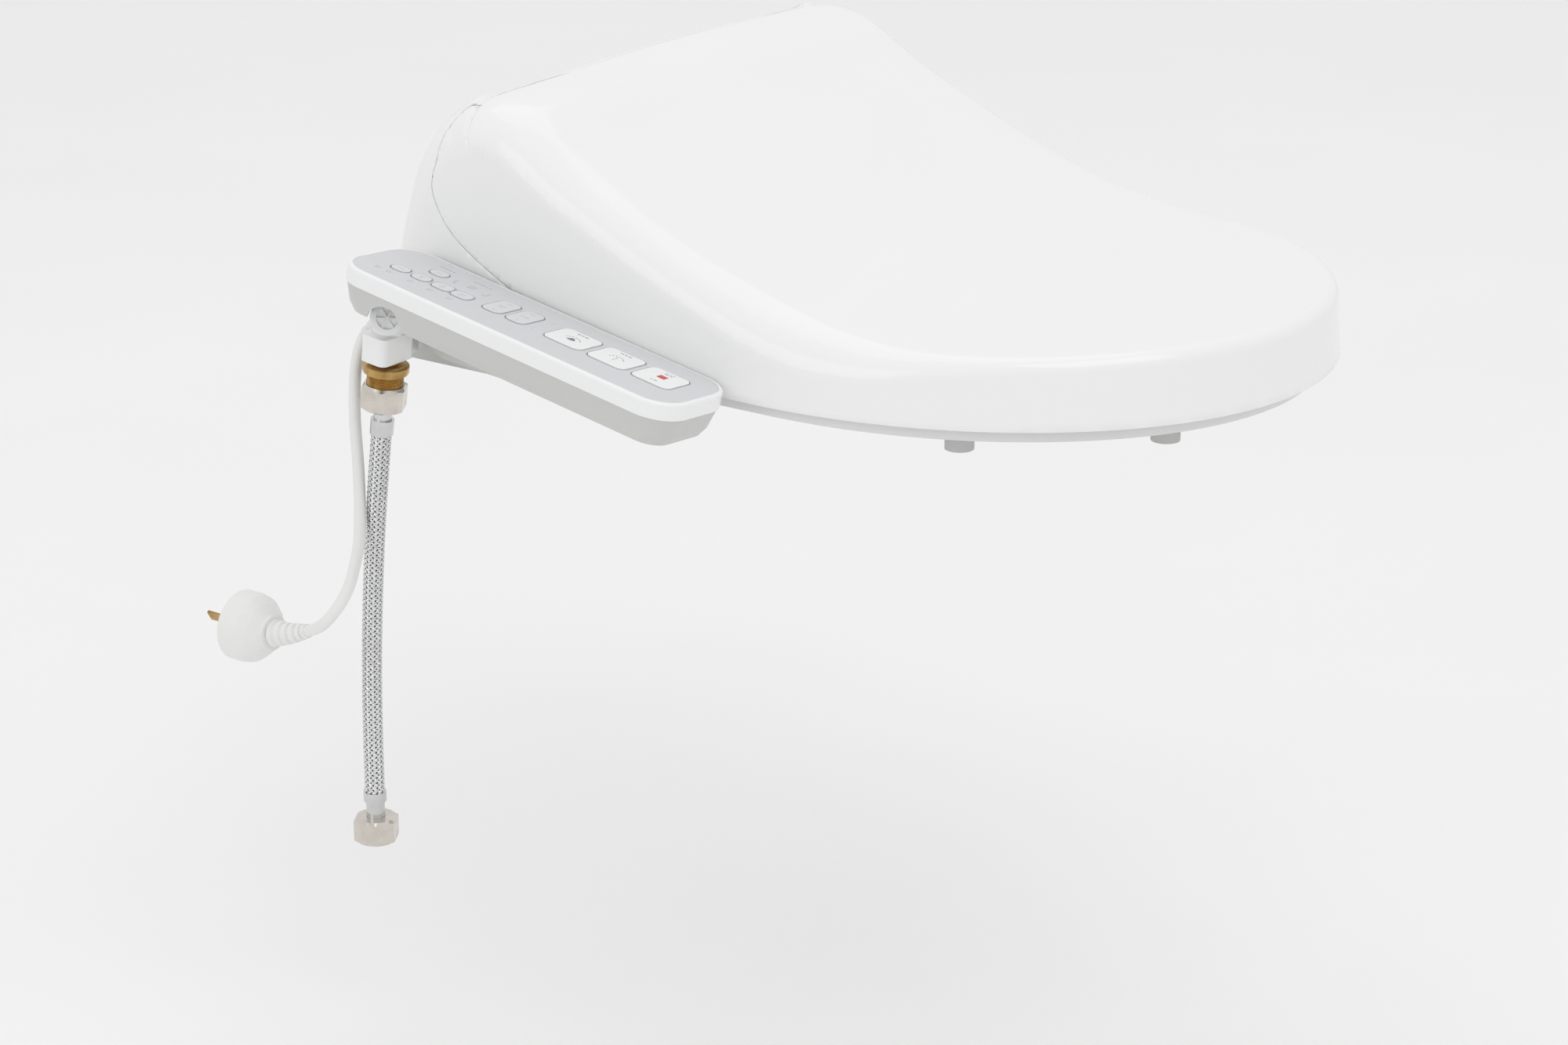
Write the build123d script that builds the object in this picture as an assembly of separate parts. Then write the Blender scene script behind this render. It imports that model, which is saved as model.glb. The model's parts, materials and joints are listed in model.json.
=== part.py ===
from build123d import *
import os
from math import cos, hypot, radians, sin, tan

# Electric bidet seat.  Millimetres, +Z up.  The origin is midway between the two fixing bolts, on the
# rim of the toilet pan (z = 0).  The front of the seat is -Y, the wall is +Y, the control arm is at -X.

# ---------------------------------------------------------------- driving dimensions
# Lid and the line that it shares with the rear casing
LID_HALF_WIDTH = 190.0      # at the lid's lower edge
NOSE_START = -203.0         # y where the straight sides end and the rounded front begins
NOSE_LENGTH = 222.0         # reach of the rounded front
LID_BOTTOM = 17.7           # height of the lid's lower edge
DRAFT = 4.0                 # degrees that the sides lean inwards
LID_WALL = 3.0
LID_CREST = 152.2           # highest point of the lid
SEAM_GAP = 1.0              # gap between lid and casing
HINGE_Y = -20.0             # forward of the edge's centre, so that the opening lid draws away from the casing
HINGE_Z = 116.0
LID_EDGE_Y = -12.0          # centre of the arc of the lid's rear edge
LID_EDGE_Z = 118.0
LID_EDGE_R = 35.8
LID_EDGE_ANGLE = 70.0       # degrees above the line to the wall
LID_OPEN = 102.0            # degrees
SEAT_OPEN = 91.8            # degrees, nine tenths of the lid's

# Rear casing
CASE_FRONT = -92.0
CASE_REAR = 55.0
CASE_CORNER = 14.0
CASE_WALL = 3.0
CASE_BOTTOM = 1.5
SPLIT_Z = 19.0              # joint between lower and upper casing
BULGE_HALF_WIDTH = 112.0    # raised middle of the casing, between the seat's arms
BULGE_R = 26.0              # round the dampers on the hinge line

# Hinge line
PIN_R = 4.0
RUN_CLEARANCE = 0.05        # pin to barrel, radial
BARREL_R = 11.0
POST_X = (157.0, 168.0)     # outer bearing post
LID_BARREL_X = (136.0, 154.0)
SEAT_BARREL_X = (114.5, 133.0)
PIN_X = (97.0, 168.0)
DAMPER_R = 10.0
DAMPER_LENGTH = 44.0

# Seat
SEAT_INSET = 9.0            # seat edge inside the lid's lower edge
SEAT_REAR = -96.0
SEAT_LOW = 9.0
SEAT_SPLIT = 18.0
SEAT_TOP = 45.0
SEAT_WALL = 3.5
OPENING_HALF_WIDTH = 108.0
OPENING_REAR = -121.0
OPENING_FRONT = -346.0
FOIL_THICKNESS = 0.6
ARCH_HALF_WIDTH = 98.0      # space under the seat's back for nozzles and dryer
ARCH_FRONT = -150.0
ARCH_TOP = 27.0

# Mounting plate and fixings
BOLT_SPACING = 155.0
BOLT_R = 4.0
STUD_R = 7.0                # lower length of a bolt, in the pan's hole
STUD_LENGTH = 36.0
BOLT_REACH = 46.0
PLATE_HALF_WIDTH = 102.0
PLATE_Y = (-45.0, 45.0)
PLATE_HEIGHT = 8.0
SLOT_LENGTH = 26.0
PLATE_CLEARANCE = 1.0

# Control arm
ARM_X = -194.0              # inner edge of the arm's top, where y = 0
ARM_Z = 61.85
ARM_PITCH = 11.07           # degrees, front end down
ARM_ROLL = 5.36             # degrees, outer edge up
ARM_REAR = 39.6             # reach behind y = 0, along the arm
ARM_LENGTH = 232.9
ARM_WIDTH = 65.3
ARM_CORNER = 20.0
RIM_HEIGHT = 9.5
RIM_WALL = 4.5
TRAY_HEIGHT = 17.0
TRAY_INSET = 7.5
OVERLAY_INSET = 2.6
OVERLAY_THICKNESS = 1.1
SUPPORT_THICKNESS = 2.0
KEY_GAP = 0.4
KEY_TRAVEL = 0.8
KEY_PROUD = 0.2
KEY_SKIRT = 1.2
KEY_DEPTH = 6.0
ROCKER_ROOM = 0.8           # extra room over a rocker's skirt, for its tilt
PIVOT_DEPTH = 2.0           # of a rocker's pivot bore under the rim's top
PIVOT_R = 0.6
# key: (first u, last u, first v, last v, corner radius); u runs forwards along the arm, v outwards
KEYS = {
    "stop_key": (149.7, 175.2, 17.2, 41.2, 4.5),
    "rear_wash_key": (119.7, 145.3, 17.2, 41.6, 4.5),
    "front_wash_key": (89.7, 115.3, 17.2, 41.6, 4.5),
    "pressure_rocker": (62.0, 75.3, 17.8, 41.0, 4.5),
    "position_rocker": (45.5, 58.5, 17.4, 41.0, 4.5),
    "water_heat_key": (23.6, 36.4, 32.2, 42.0, 4.0),
    "seat_heat_key": (9.9, 22.6, 32.2, 42.0, 4.0),
    "power_save_key": (-4.8, 6.9, 33.0, 42.0, 4.2),
    "dryer_key": (-19.6, -8.0, 33.4, 42.0, 4.1),
    "massage_key": (-4.8, 6.4, 17.2, 26.0, 4.1),
}

# Water inlet and hose; s runs down the inlet's axis from the vent
INLET = (-230.0, 23.9, 39.0)
INLET_LEAN = 7.5            # degrees, foot to the rear
VALVE_R = 9.0
BLOCK = (27.0, 18.0, 16.0)
BLOCK_TOP = 10.0
CLIP_REACH = 6.4            # how far the steel clip stands out at the block's side
VENT_NORMAL = Vector(-0.80, -0.56, 0.12)
VENT_R = 10.0
VENT_REACH = 10.5
COLLAR_R = 13.2
THREAD_R = 10.48            # half-inch pipe thread
NUT_FLATS = 24.0
NUT_HEIGHT = 15.0
TUBE_R = 5.5
CRIMP_R = 6.75
HOSE_R = 6.0
SUPPLY_THREAD_R = 9.32      # core of the half-inch female thread
SUPPLY_THREAD_DEPTH = 11.0
HOSE_ROUTE = [(-230.0, 33.2, -32.0), (-230.5, 39.0, -78.0), (-230.0, 44.5, -130.0),
              (-229.6, 48.2, -184.0), (-230.0, 48.8, -233.0), (-230.0, 48.8, -255.5)]

# Mains cord, from the gland to the plug's boot
CORD_R = 3.4
CORD_ROUTE = [(-198.5, 34.0, 30.0), (-208.5, 36.5, 31.0), (-218.0, 43.0, 29.0), (-226.5, 48.0, 21.0),
              (-230.5, 49.5, 8.5), (-232.5, 50.0, -7.0), (-234.0, 49.5, -27.0), (-233.5, 48.5, -50.0),
              (-235.5, 46.5, -69.0), (-239.5, 43.5, -84.0), (-246.5, 38.5, -95.0), (-256.0, 34.0, -104.5),
              (-265.0, 30.0, -112.5), (-273.5, 30.5, -122.0), (-278.0, 37.0, -132.0),
              (-277.0, 47.0, -139.5), (-275.5, 58.0, -143.5)]
PLUG_X = -277.0
PLUG_Z = -148.5
PLUG_FACE_Y = 104.0
PLUG_R = 20.5
BOOT_START_Y = 79.0

# Nozzles
NOZZLE_ANGLE = 32.0         # degrees below horizontal
NOZZLE_EXIT_Z = 16.0
NOZZLE_X = (-9.5, 9.5)
NOZZLE_R = 6.5
NOZZLE_BACK = 8.0           # tip behind the casing's front when parked
NOZZLE_LENGTH = 78.0
FLAP_THICKNESS = 2.0

# Dryer
FAN_X = -66.0
FAN_Y = -6.0
FAN_R = 31.0
FAN_Z = (14.0, 46.0)
DUCT_X = (-92.0, -58.0)
DUCT_Z = (8.0, 28.0)
DUCT_WALL = 2.0
SCROLL_REACH = 44.0         # fan's axis to the duct

# ---------------------------------------------------------------- small helpers
def lean(z):
    """How far the drafted sides have moved inwards at height z."""
    return (z - LID_BOTTOM) * tan(radians(DRAFT))


def yz_prism(points, x0, x1):
    """A prism along X from a closed outline of (y, z) points."""
    outline = Polyline(*[(y, z) for y, z in points], close=True)
    face = make_face(Plane.YZ.offset(x0) * outline)
    return extrude(face, amount=x1 - x0, dir=(1, 0, 0))


def yz_profile(edges, x0, x1):
    face = make_face(Plane.YZ.offset(x0) * Curve(children=edges))
    return extrude(face, amount=x1 - x0, dir=(1, 0, 0))


def box(x0, x1, y0, y1, z0, z1):
    return Pos((x0 + x1) / 2, (y0 + y1) / 2, (z0 + z1) / 2) * Box(x1 - x0, y1 - y0, z1 - z0)


def x_cylinder(radius, x0, x1, y, z):
    return Pos((x0 + x1) / 2, y, z) * Rot(0, 90, 0) * Cylinder(radius, x1 - x0)


def z_cylinder(radius, x, y, z0, z1):
    return Pos(x, y, (z0 + z1) / 2) * Cylinder(radius, z1 - z0)


def shifted(points, distance):
    """Points of an open (y, z) line moved to the left of its direction of travel."""
    moved = []
    for i, (y, z) in enumerate(points):
        y0, z0 = points[max(i - 1, 0)]
        y1, z1 = points[min(i + 1, len(points) - 1)]
        length = hypot(y1 - y0, z1 - z0)
        moved.append((y - distance * (z1 - z0) / length, z + distance * (y1 - y0) / length))
    return moved


def on_hinge(radius, angle):
    """A (y, z) point at a radius and an angle round the hinge line, 0 towards the wall."""
    return (HINGE_Y + radius * cos(radians(angle)), HINGE_Z + radius * sin(radians(angle)))


def on_lid_edge(radius, angle):
    """A (y, z) point at a radius and an angle round the centre of the lid's rear edge, 0 towards the wall."""
    return (LID_EDGE_Y + radius * cos(radians(angle)), LID_EDGE_Z + radius * sin(radians(angle)))


def mirrored(shape):
    return mirror(shape, about=Plane.YZ)


def both_sides(shape):
    return Compound(children=[shape, mirrored(shape)])


def only(shape):
    """The one solid of a result."""
    solids = shape.solids()
    return solids[0] if len(solids) == 1 else Compound(children=list(solids))


parts = {}

# ---------------------------------------------------------------- shared outlines
SEAM_LOW = [(26.7, 102.5), (20.1, 88.1), (9.4, 76.5), (-6.5, 66.2), (-29.5, 54.2), (-51.5, 44.2),
            (-80.0, 31.0), (-108.0, 19.5)]
REAR_LINE = [(CASE_REAR, 63.0), (52.0, 82.0), (46.0, 111.0), (39.0, 125.0), (25.0, 141.0), (11.0, 151.6)]
LID_TOP = [on_lid_edge(LID_EDGE_R, LID_EDGE_ANGLE), (-12.0, LID_CREST), (-24.0, 150.0), (-38.0, 141.5), (-55.0, 129.5),
           (-81.0, 113.6), (-119.0, 94.0), (-170.0, 73.9), (-217.0, 61.3), (-259.0, 54.9),
           (-294.0, 53.1), (-340.0, 53.3), (-440.0, 56.0)]


def arc_chain(points):
    """Arcs through each three points of a curved line, and a straight end if a point is left."""
    edges = [ThreePointArc(*points[i:i + 3]) for i in range(0, len(points) - 2, 2)]
    if len(points) % 2 == 0:
        edges.append(Line(points[-2], points[-1]))
    return edges


def seam_edges(gap):
    """The lid's rear edge, moved out by a gap: an arc round the hinge line, then the lower curve."""
    radius = LID_EDGE_R + gap
    top = on_lid_edge(radius, LID_EDGE_ANGLE - 2.0 * gap)
    foot = on_lid_edge(radius, 0)
    arc = ThreePointArc(top, on_lid_edge(radius, 35), foot)
    low = [foot] + shifted([on_lid_edge(LID_EDGE_R, 0)] + SEAM_LOW, gap)[1:]
    return [arc] + arc_chain(low), top, low[-1]


def nose_plan(z, inset, rear):
    """Plan of the lid or seat at one height: straight sides and an elliptical front."""
    half = LID_HALF_WIDTH - lean(z) - inset
    nose = NOSE_LENGTH - lean(z) - inset
    edges = [
        Line((half, NOSE_START), (half, rear)),
        Line((half, rear), (-half, rear)),
        Line((-half, rear), (-half, NOSE_START)),
        EllipticalCenterArc((0, NOSE_START), half, nose, start_angle=180, arc_size=180),
    ]
    return make_face(Pos(0, 0, z) * Curve(children=edges))


def nose_body(z0, z1, inset, rear):
    return loft([nose_plan(z0, inset, rear), nose_plan(z1, inset, rear)], ruled=True)


def case_body(z0, z1, inset):
    """Drafted block of the rear casing with rounded rear corners; its front is cut off later."""
    half = LID_HALF_WIDTH - lean(z0) - inset
    rear = CASE_REAR + lean(REAR_LINE[0][1]) - lean(z0) - inset
    front = 1.5 * CASE_FRONT
    face = make_face(Pos(0, 0, z0) * Polyline((half, front), (half, rear), (-half, rear), (-half, front), close=True))
    rear_corners = [v for v in face.vertices() if v.Y > 0]
    return extrude(fillet(rear_corners, CASE_CORNER - inset), amount=z1 - z0, dir=(0, 0, 1), taper=DRAFT)


# ---------------------------------------------------------------- lid
def make_lid():
    seam, seam_top, seam_foot = seam_edges(0.0)
    bottom = (seam_foot[0] - 3.0, LID_BOTTOM)
    front = LID_TOP[-1]
    edges = seam + [
        Line(seam_foot, bottom),
        Line(bottom, (front[0], LID_BOTTOM)),
        Line((front[0], LID_BOTTOM), front),
        Spline(*reversed(LID_TOP)),
    ]
    outer = nose_body(LID_BOTTOM, 160.0, 0.0, 40.0) & yz_profile(edges, -200.0, 200.0)
    under = shifted(LID_TOP, LID_WALL)
    under = [(CASE_REAR, under[0][1])] + under
    cavity = [(CASE_REAR, 0.0)] + under + [(front[0], 0.0)]
    inner = nose_body(LID_BOTTOM - 10.0, 160.0, LID_WALL, CASE_REAR) & yz_prism(cavity, -200.0, 200.0)
    shell = outer - inner
    # the two hinge arms reach down from the top panel
    web = [(HINGE_Y - 9.0, HINGE_Z), (HINGE_Y + 7.0, HINGE_Z), (HINGE_Y + 7.0, LID_CREST - 1.5),
           (HINGE_Y - 9.0, LID_CREST - 2.5)]
    arm = yz_prism(web, *LID_BARREL_X) + x_cylinder(BARREL_R, *LID_BARREL_X, HINGE_Y, HINGE_Z)
    arm -= x_cylinder(PIN_R + RUN_CLEARANCE, LID_BARREL_X[0] - 1, LID_BARREL_X[1] + 1, HINGE_Y, HINGE_Z)
    return only(shell + arm + mirrored(arm))


lid = make_lid()
parts["lid_shell"] = lid


def lid_bumper(x, y):
    pad = z_cylinder(6.0, x, y, SEAT_TOP + 0.3, SEAT_TOP + 7.0)
    return (pad - lid).solids().sort_by(Axis.Z)[0]


# ---------------------------------------------------------------- seat
def opening(z0, z1, grow):
    half = OPENING_HALF_WIDTH + grow
    reach = (OPENING_REAR - OPENING_FRONT) / 2 + grow
    centre = (OPENING_REAR + OPENING_FRONT) / 2
    face = make_face(Pos(0, centre, z0) * Ellipse(half, reach).edge())
    return extrude(face, amount=z1 - z0, dir=(0, 0, 1))


def seat_arch(grow):
    """Room under the back of the seat for the nozzles and the dryer's flap."""
    half = ARCH_HALF_WIDTH + grow
    return box(-half, half, ARCH_FRONT - grow, SEAT_REAR + 10.0, 0.0, ARCH_TOP + grow)


def make_seat():
    ring = nose_body(SEAT_SPLIT, SEAT_TOP, SEAT_INSET, SEAT_REAR) - opening(SEAT_SPLIT - 1, SEAT_TOP + 1, 0)
    top_edges = ring.faces().sort_by(Axis.Z)[-1].edges().filter_by(lambda e: e.length > 300)
    ring = fillet(top_edges, 8.0)
    hollow = nose_body(SEAT_SPLIT - 1, SEAT_TOP - SEAT_WALL, SEAT_INSET + SEAT_WALL, SEAT_REAR - SEAT_WALL)
    hollow -= opening(SEAT_SPLIT - 2, SEAT_TOP, SEAT_WALL)
    hollow -= seat_arch(SEAT_WALL)
    ring -= hollow
    ring -= seat_arch(0.0)
    x0, x1 = SEAT_BARREL_X
    arm = [(-104.0, SEAT_SPLIT), (-92.5, 36.0), (-78.0, 40.0), (-50.0, 53.0), (-26.0, 66.0), (-6.0, 88.0),
           (HINGE_Y + 8.0, HINGE_Z), (HINGE_Y - 9.0, HINGE_Z), (-40.0, 98.0), (-62.0, 70.0),
           (-84.0, 51.0), (-104.0, SEAT_TOP - 1.0)]
    arm = yz_prism(arm, x0, x1) + x_cylinder(BARREL_R, x0, x1, HINGE_Y, HINGE_Z)
    arm -= x_cylinder(PIN_R + RUN_CLEARANCE, x0 - 1, x1 + 1, HINGE_Y, HINGE_Z)
    arm -= case_front_guard
    top = only(ring + arm + mirrored(arm))
    tray = nose_body(SEAT_LOW, SEAT_SPLIT, SEAT_INSET, SEAT_REAR) - opening(SEAT_LOW - 1, SEAT_SPLIT + 1, 0)
    tray -= (nose_body(SEAT_LOW + SEAT_WALL, SEAT_SPLIT + 1, SEAT_INSET + SEAT_WALL, SEAT_REAR - SEAT_WALL)
             - opening(SEAT_LOW, SEAT_SPLIT + 2, SEAT_WALL) - seat_arch(SEAT_WALL))
    tray -= seat_arch(0.0)
    foil_top = SEAT_TOP - SEAT_WALL - 0.2
    foil = nose_body(foil_top - FOIL_THICKNESS, foil_top, SEAT_INSET + 14.0, SEAT_REAR - 12.0)
    foil -= opening(foil_top - 2, foil_top + 1, 10.0)
    return top, only(tray), only(foil)


# the arms of the seat stay in front of the casing's front wall below this height
case_front_guard = box(-200.0, 200.0, CASE_FRONT - 2.0, CASE_REAR, 0.0, 34.0)
parts["seat_top"], parts["seat_bottom"], parts["seat_heater_foil"] = make_seat()

bumper_points = [(70.0, -382.0), (146.0, -300.0), (150.0, -150.0)]
parts["seat_bumpers"] = Compound(children=[
    z_cylinder(8.0, side * x, y, 0.0, SEAT_LOW) for x, y in bumper_points for side in (-1, 1)])
parts["lid_bumpers"] = Compound(children=[
    lid_bumper(side * x, y) for x, y in [(60.0, -385.0), (135.0, -320.0)] for side in (-1, 1)])

# ---------------------------------------------------------------- rear casing
BULGE_FRONT = [(CASE_FRONT, 46.0), (-84.0, 58.0), (-50.0, 104.0)]
FRONT_OPENING = (-19.0, 19.0, 6.5, 31.0)      # for the nozzles: x, x, z, z
DRYER_OPENING = (DUCT_X[0] + DUCT_WALL, DUCT_X[1] - DUCT_WALL, DUCT_Z[0] + DUCT_WALL, DUCT_Z[1] - DUCT_WALL)


def case_profile():
    seam, seam_top, seam_foot = seam_edges(SEAM_GAP)
    front = (CASE_FRONT - 20.0, seam_foot[1] - 1.0)
    edges = seam + [
        Line(seam_foot, front),
        Line(front, (front[0], CASE_BOTTOM - 5.0)),
        Line((front[0], CASE_BOTTOM - 5.0), (CASE_REAR, CASE_BOTTOM - 5.0)),
        Line((CASE_REAR, CASE_BOTTOM - 5.0), REAR_LINE[0]),
        Line(REAR_LINE[-1], seam_top),
    ] + arc_chain(REAR_LINE)
    return yz_profile(edges, -200.0, 200.0)


def bulge(inset):
    """Raised middle of the casing, with a round back that leaves room for the lid's swing."""
    half = BULGE_HALF_WIDTH - inset
    line = shifted([(CASE_FRONT, 0.0)] + BULGE_FRONT, -inset)
    outline = [(0.0, 5.0)] + line + [on_hinge(BULGE_R - inset, a) for a in (150, 120, 90, 60, 30, 0, -30, -50)]
    outline += [on_hinge(BULGE_R - inset, -60), (0.0, 60.0)]
    return yz_prism(outline, -half, half)


def casing_shell():
    outer = case_body(CASE_BOTTOM, 160.0, 0.0) & case_profile()
    outer &= box(-200, 200, CASE_FRONT, 100, 0, 200)
    outer += bulge(0.0)
    low = shifted([on_lid_edge(LID_EDGE_R, 0)] + SEAM_LOW, SEAM_GAP + CASE_WALL)
    rear = shifted(REAR_LINE, CASE_WALL)
    trough = [on_lid_edge(LID_EDGE_R + SEAM_GAP + CASE_WALL, a) for a in (30, 15)]
    cavity = [(CASE_REAR - CASE_WALL, -5.0)] + rear[:4] + trough + low[1:] + [(CASE_FRONT - 20.0, -5.0)]
    room = box(-200, 200, CASE_FRONT + CASE_WALL, 100, CASE_BOTTOM + CASE_WALL, 200)
    inner = case_body(CASE_BOTTOM + CASE_WALL, 160.0, CASE_WALL) & yz_prism(cavity, -200.0, 200.0) & room
    inner += bulge(CASE_WALL) & room
    return outer, inner


case_outer, case_inner = casing_shell()
nozzle_window = box(FRONT_OPENING[0], FRONT_OPENING[1], CASE_FRONT - 5, CASE_FRONT + 8,
                    FRONT_OPENING[2], FRONT_OPENING[3])
dryer_window = box(DRYER_OPENING[0], DRYER_OPENING[1], CASE_FRONT - 5, CASE_FRONT + 8,
                   DRYER_OPENING[2], DRYER_OPENING[3])
recess = box(-PLATE_HALF_WIDTH - PLATE_CLEARANCE, PLATE_HALF_WIDTH + PLATE_CLEARANCE,
             PLATE_Y[0] - PLATE_CLEARANCE, CASE_REAR + 5.0, -5.0, PLATE_HEIGHT + PLATE_CLEARANCE)
recess_roof = box(-PLATE_HALF_WIDTH - PLATE_CLEARANCE - CASE_WALL,
                  PLATE_HALF_WIDTH + PLATE_CLEARANCE + CASE_WALL,
                  PLATE_Y[0] - PLATE_CLEARANCE - CASE_WALL, CASE_REAR, CASE_BOTTOM,
                  PLATE_HEIGHT + PLATE_CLEARANCE + CASE_WALL)

# deodoriser drawer in the side of the casing away from the arm
DRAWER_Y = (-52.0, -8.0)
DRAWER_Z = (22.5, 37.5)
DRAWER_DEPTH = 46.0
DRAWER_TRAVEL = 40.0
DRAWER_GAP = 0.5
BUTTON_X = (172.0, 192.2)
BUTTON_Y = (-4.0, 12.0)
BUTTON_Z = (6.0, 14.0)
BUTTON_GAP = 0.4


def drawer_block(gap, x0, x1):
    return box(x0, x1, DRAWER_Y[0] - gap, DRAWER_Y[1] + gap, DRAWER_Z[0] - gap, DRAWER_Z[1] + gap)


def release_button(gap):
    """Button that frees the casing from its plate, or the hole for it."""
    return box(BUTTON_X[0], BUTTON_X[1] + gap, BUTTON_Y[0] - gap, BUTTON_Y[1] + gap, BUTTON_Z[0] - gap,
               BUTTON_Z[1] + gap)


GLAND_Y = CORD_ROUTE[0][1]
GLAND_Z = CORD_ROUTE[0][2]
GLAND_R = 6.5
gland_hole = x_cylinder(5.0, -200.0, -170.0, GLAND_Y, GLAND_Z)

post = yz_prism([(-30.0, 50.0), (0.0, 60.0), (HINGE_Y + 10.0, HINGE_Z), (HINGE_Y - 10.0, HINGE_Z)], *POST_X)
post += x_cylinder(BARREL_R, *POST_X, HINGE_Y, HINGE_Z)
posts = post + mirrored(post)
screw_points = [(150.0, -70.0), (150.0, 20.0)]
screw_bosses = [z_cylinder(5.0, side * x, y, SPLIT_Z, LID_CREST) for x, y in screw_points
                for side in (-1, 1)]
pin_bore = x_cylinder(PIN_R, -PIN_X[1], PIN_X[1], HINGE_Y, HINGE_Z)

above = box(-250, 250, -250, 100, SPLIT_Z, 250)
upper = (case_outer - case_inner) & above
for boss in screw_bosses:
    upper += boss & case_outer
for side in (-1, 1):
    for x, y in screw_points:
        upper -= z_cylinder(2.0, side * x, y, SPLIT_Z - 1, SPLIT_Z + 8.0)
upper += posts - case_inner
upper -= pin_bore
upper -= nozzle_window
upper -= dryer_window
upper -= drawer_block(DRAWER_GAP, 150.0, 200.0)
upper -= gland_hole
parts["upper_casing"] = only(upper)

lower = case_outer & box(-250, 250, -250, 100, CASE_BOTTOM, SPLIT_Z)
lower_hollow = case_inner & box(-250, 250, -250, 100, CASE_BOTTOM + CASE_WALL, SPLIT_Z + 5)
lower = lower - (lower_hollow - recess_roof) - recess
for side in (-1, 1):
    for x, y in screw_points:
        lower += z_cylinder(6.0, side * x, y, CASE_BOTTOM + 1.0, SPLIT_Z)
for side in (-1, 1):
    for x, y in screw_points:
        lower -= z_cylinder(2.2, side * x, y, CASE_BOTTOM - 1, SPLIT_Z + 1)
        lower -= z_cylinder(3.8, side * x, y, CASE_BOTTOM - 1, CASE_BOTTOM + 3.0)
lower -= nozzle_window
lower -= dryer_window
lower -= release_button(BUTTON_GAP)
parts["lower_casing"] = only(lower)

parts["casing_screws"] = Compound(children=[
    z_cylinder(3.5, side * x, y, CASE_BOTTOM + 0.6, CASE_BOTTOM + 3.0)
    + z_cylinder(1.95, side * x, y, CASE_BOTTOM + 3.0, SPLIT_Z + 7.5)
    for x, y in screw_points for side in (-1, 1)])

# deodoriser
drawer = drawer_block(0.0, 140.0, 200.0) & case_body(CASE_BOTTOM, 160.0, 0.0)
drawer -= box(140.0 + 2.0, 200.0 - 16.0, DRAWER_Y[0] + 2.0, DRAWER_Y[1] - 2.0, DRAWER_Z[0] + 2.0, 60.0)
parts["deodoriser_drawer"] = only(drawer)
parts["filter_block"] = box(143.0, 182.0, DRAWER_Y[0] + 3.0, DRAWER_Y[1] - 3.0, DRAWER_Z[0] + 2.0,
                            DRAWER_Z[1] - 3.0)

# ---------------------------------------------------------------- hinge pins and dampers
pin = x_cylinder(PIN_R, *PIN_X, HINGE_Y, HINGE_Z)
parts["hinge_pins"] = both_sides(pin)
damper = x_cylinder(DAMPER_R, PIN_X[0] - DAMPER_LENGTH, PIN_X[0], HINGE_Y, HINGE_Z)
parts["hinge_dampers"] = both_sides(damper)

# ---------------------------------------------------------------- mounting plate
bolt_x = BOLT_SPACING / 2
plate = box(-PLATE_HALF_WIDTH, PLATE_HALF_WIDTH, *PLATE_Y, 0.0, PLATE_HEIGHT)
plate = fillet(plate.edges().filter_by(Axis.Z), 6.0)
insert_size = (30.0, 22.0)
for side in (-1, 1):
    plate -= Pos(side * bolt_x, 0, PLATE_HEIGHT) * Box(40.0, 70.0, 2 * 5.0)
    plate -= Pos(side * bolt_x, 0, 0) * extrude(Rot(0, 0, 90) * SlotOverall(52.0, 2 * STUD_R + 2.0), 20)
plate -= Pos(0, 0, PLATE_HEIGHT) * Box(60.0, 60.0, 2 * 4.0)
parts["mounting_plate"] = only(plate)


def bolt_insert(x):
    block = Pos(x, 0, PLATE_HEIGHT - 3.5) * Box(*insert_size, 3.0)
    block = fillet(block.edges().filter_by(Axis.Z), 3.0)
    return block - z_cylinder(BOLT_R, x, 0, 0, 20)


def bolt(x):
    shank = z_cylinder(BOLT_R, x, 0, -BOLT_REACH, PLATE_HEIGHT - 2.0)
    head = z_cylinder(BOLT_R + 2.5, x, 0, PLATE_HEIGHT - 2.0, PLATE_HEIGHT + 0.5)
    return shank + head + z_cylinder(STUD_R, x, 0, -STUD_LENGTH, 0)


def bolt_nut(x):
    nut = extrude(Pos(x, 0, -STUD_LENGTH - 6.0) * RegularPolygon(6.4, 6), 6.0)
    return nut - z_cylinder(BOLT_R, x, 0, -60, 10)


for name, maker in (("bolt_inserts", bolt_insert), ("fixing_bolts", bolt),
                    ("bolt_nuts", bolt_nut)):
    parts[name] = Compound(children=[maker(side * bolt_x) for side in (-1, 1)])

# ---------------------------------------------------------------- control arm
pitch, roll = radians(ARM_PITCH), radians(ARM_ROLL)
to_rear = Vector(0, cos(pitch), sin(pitch))
up = Vector(sin(roll), -sin(pitch) * cos(roll), cos(pitch) * cos(roll))
arm_plane = Plane(origin=(ARM_X, 0, ARM_Z), x_dir=to_rear, z_dir=up)


def arm_slab(inset, z0, z1):
    """A rounded slab in the arm's own frame: z is 0 at the top of the rim."""
    outline = RectangleRounded(ARM_LENGTH - 2 * inset, ARM_WIDTH - 2 * inset, ARM_CORNER - inset)
    place = Pos(ARM_REAR - ARM_LENGTH / 2, ARM_WIDTH / 2, z0)
    return arm_plane * place * extrude(outline, z1 - z0)


def key_slab(name, grow, z0, z1):
    u0, u1, v0, v1, corner = KEYS[name]
    outline = RectangleRounded(u1 - u0 + 2 * grow, v1 - v0 + 2 * grow, corner + grow)
    return arm_plane * Pos(-(u0 + u1) / 2, (v0 + v1) / 2, z0) * extrude(outline, z1 - z0)


def arm_drop(x, y, radius, z0, z1):
    return arm_plane * Pos(x, y, z0) * extrude(Circle(radius), z1 - z0)


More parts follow.
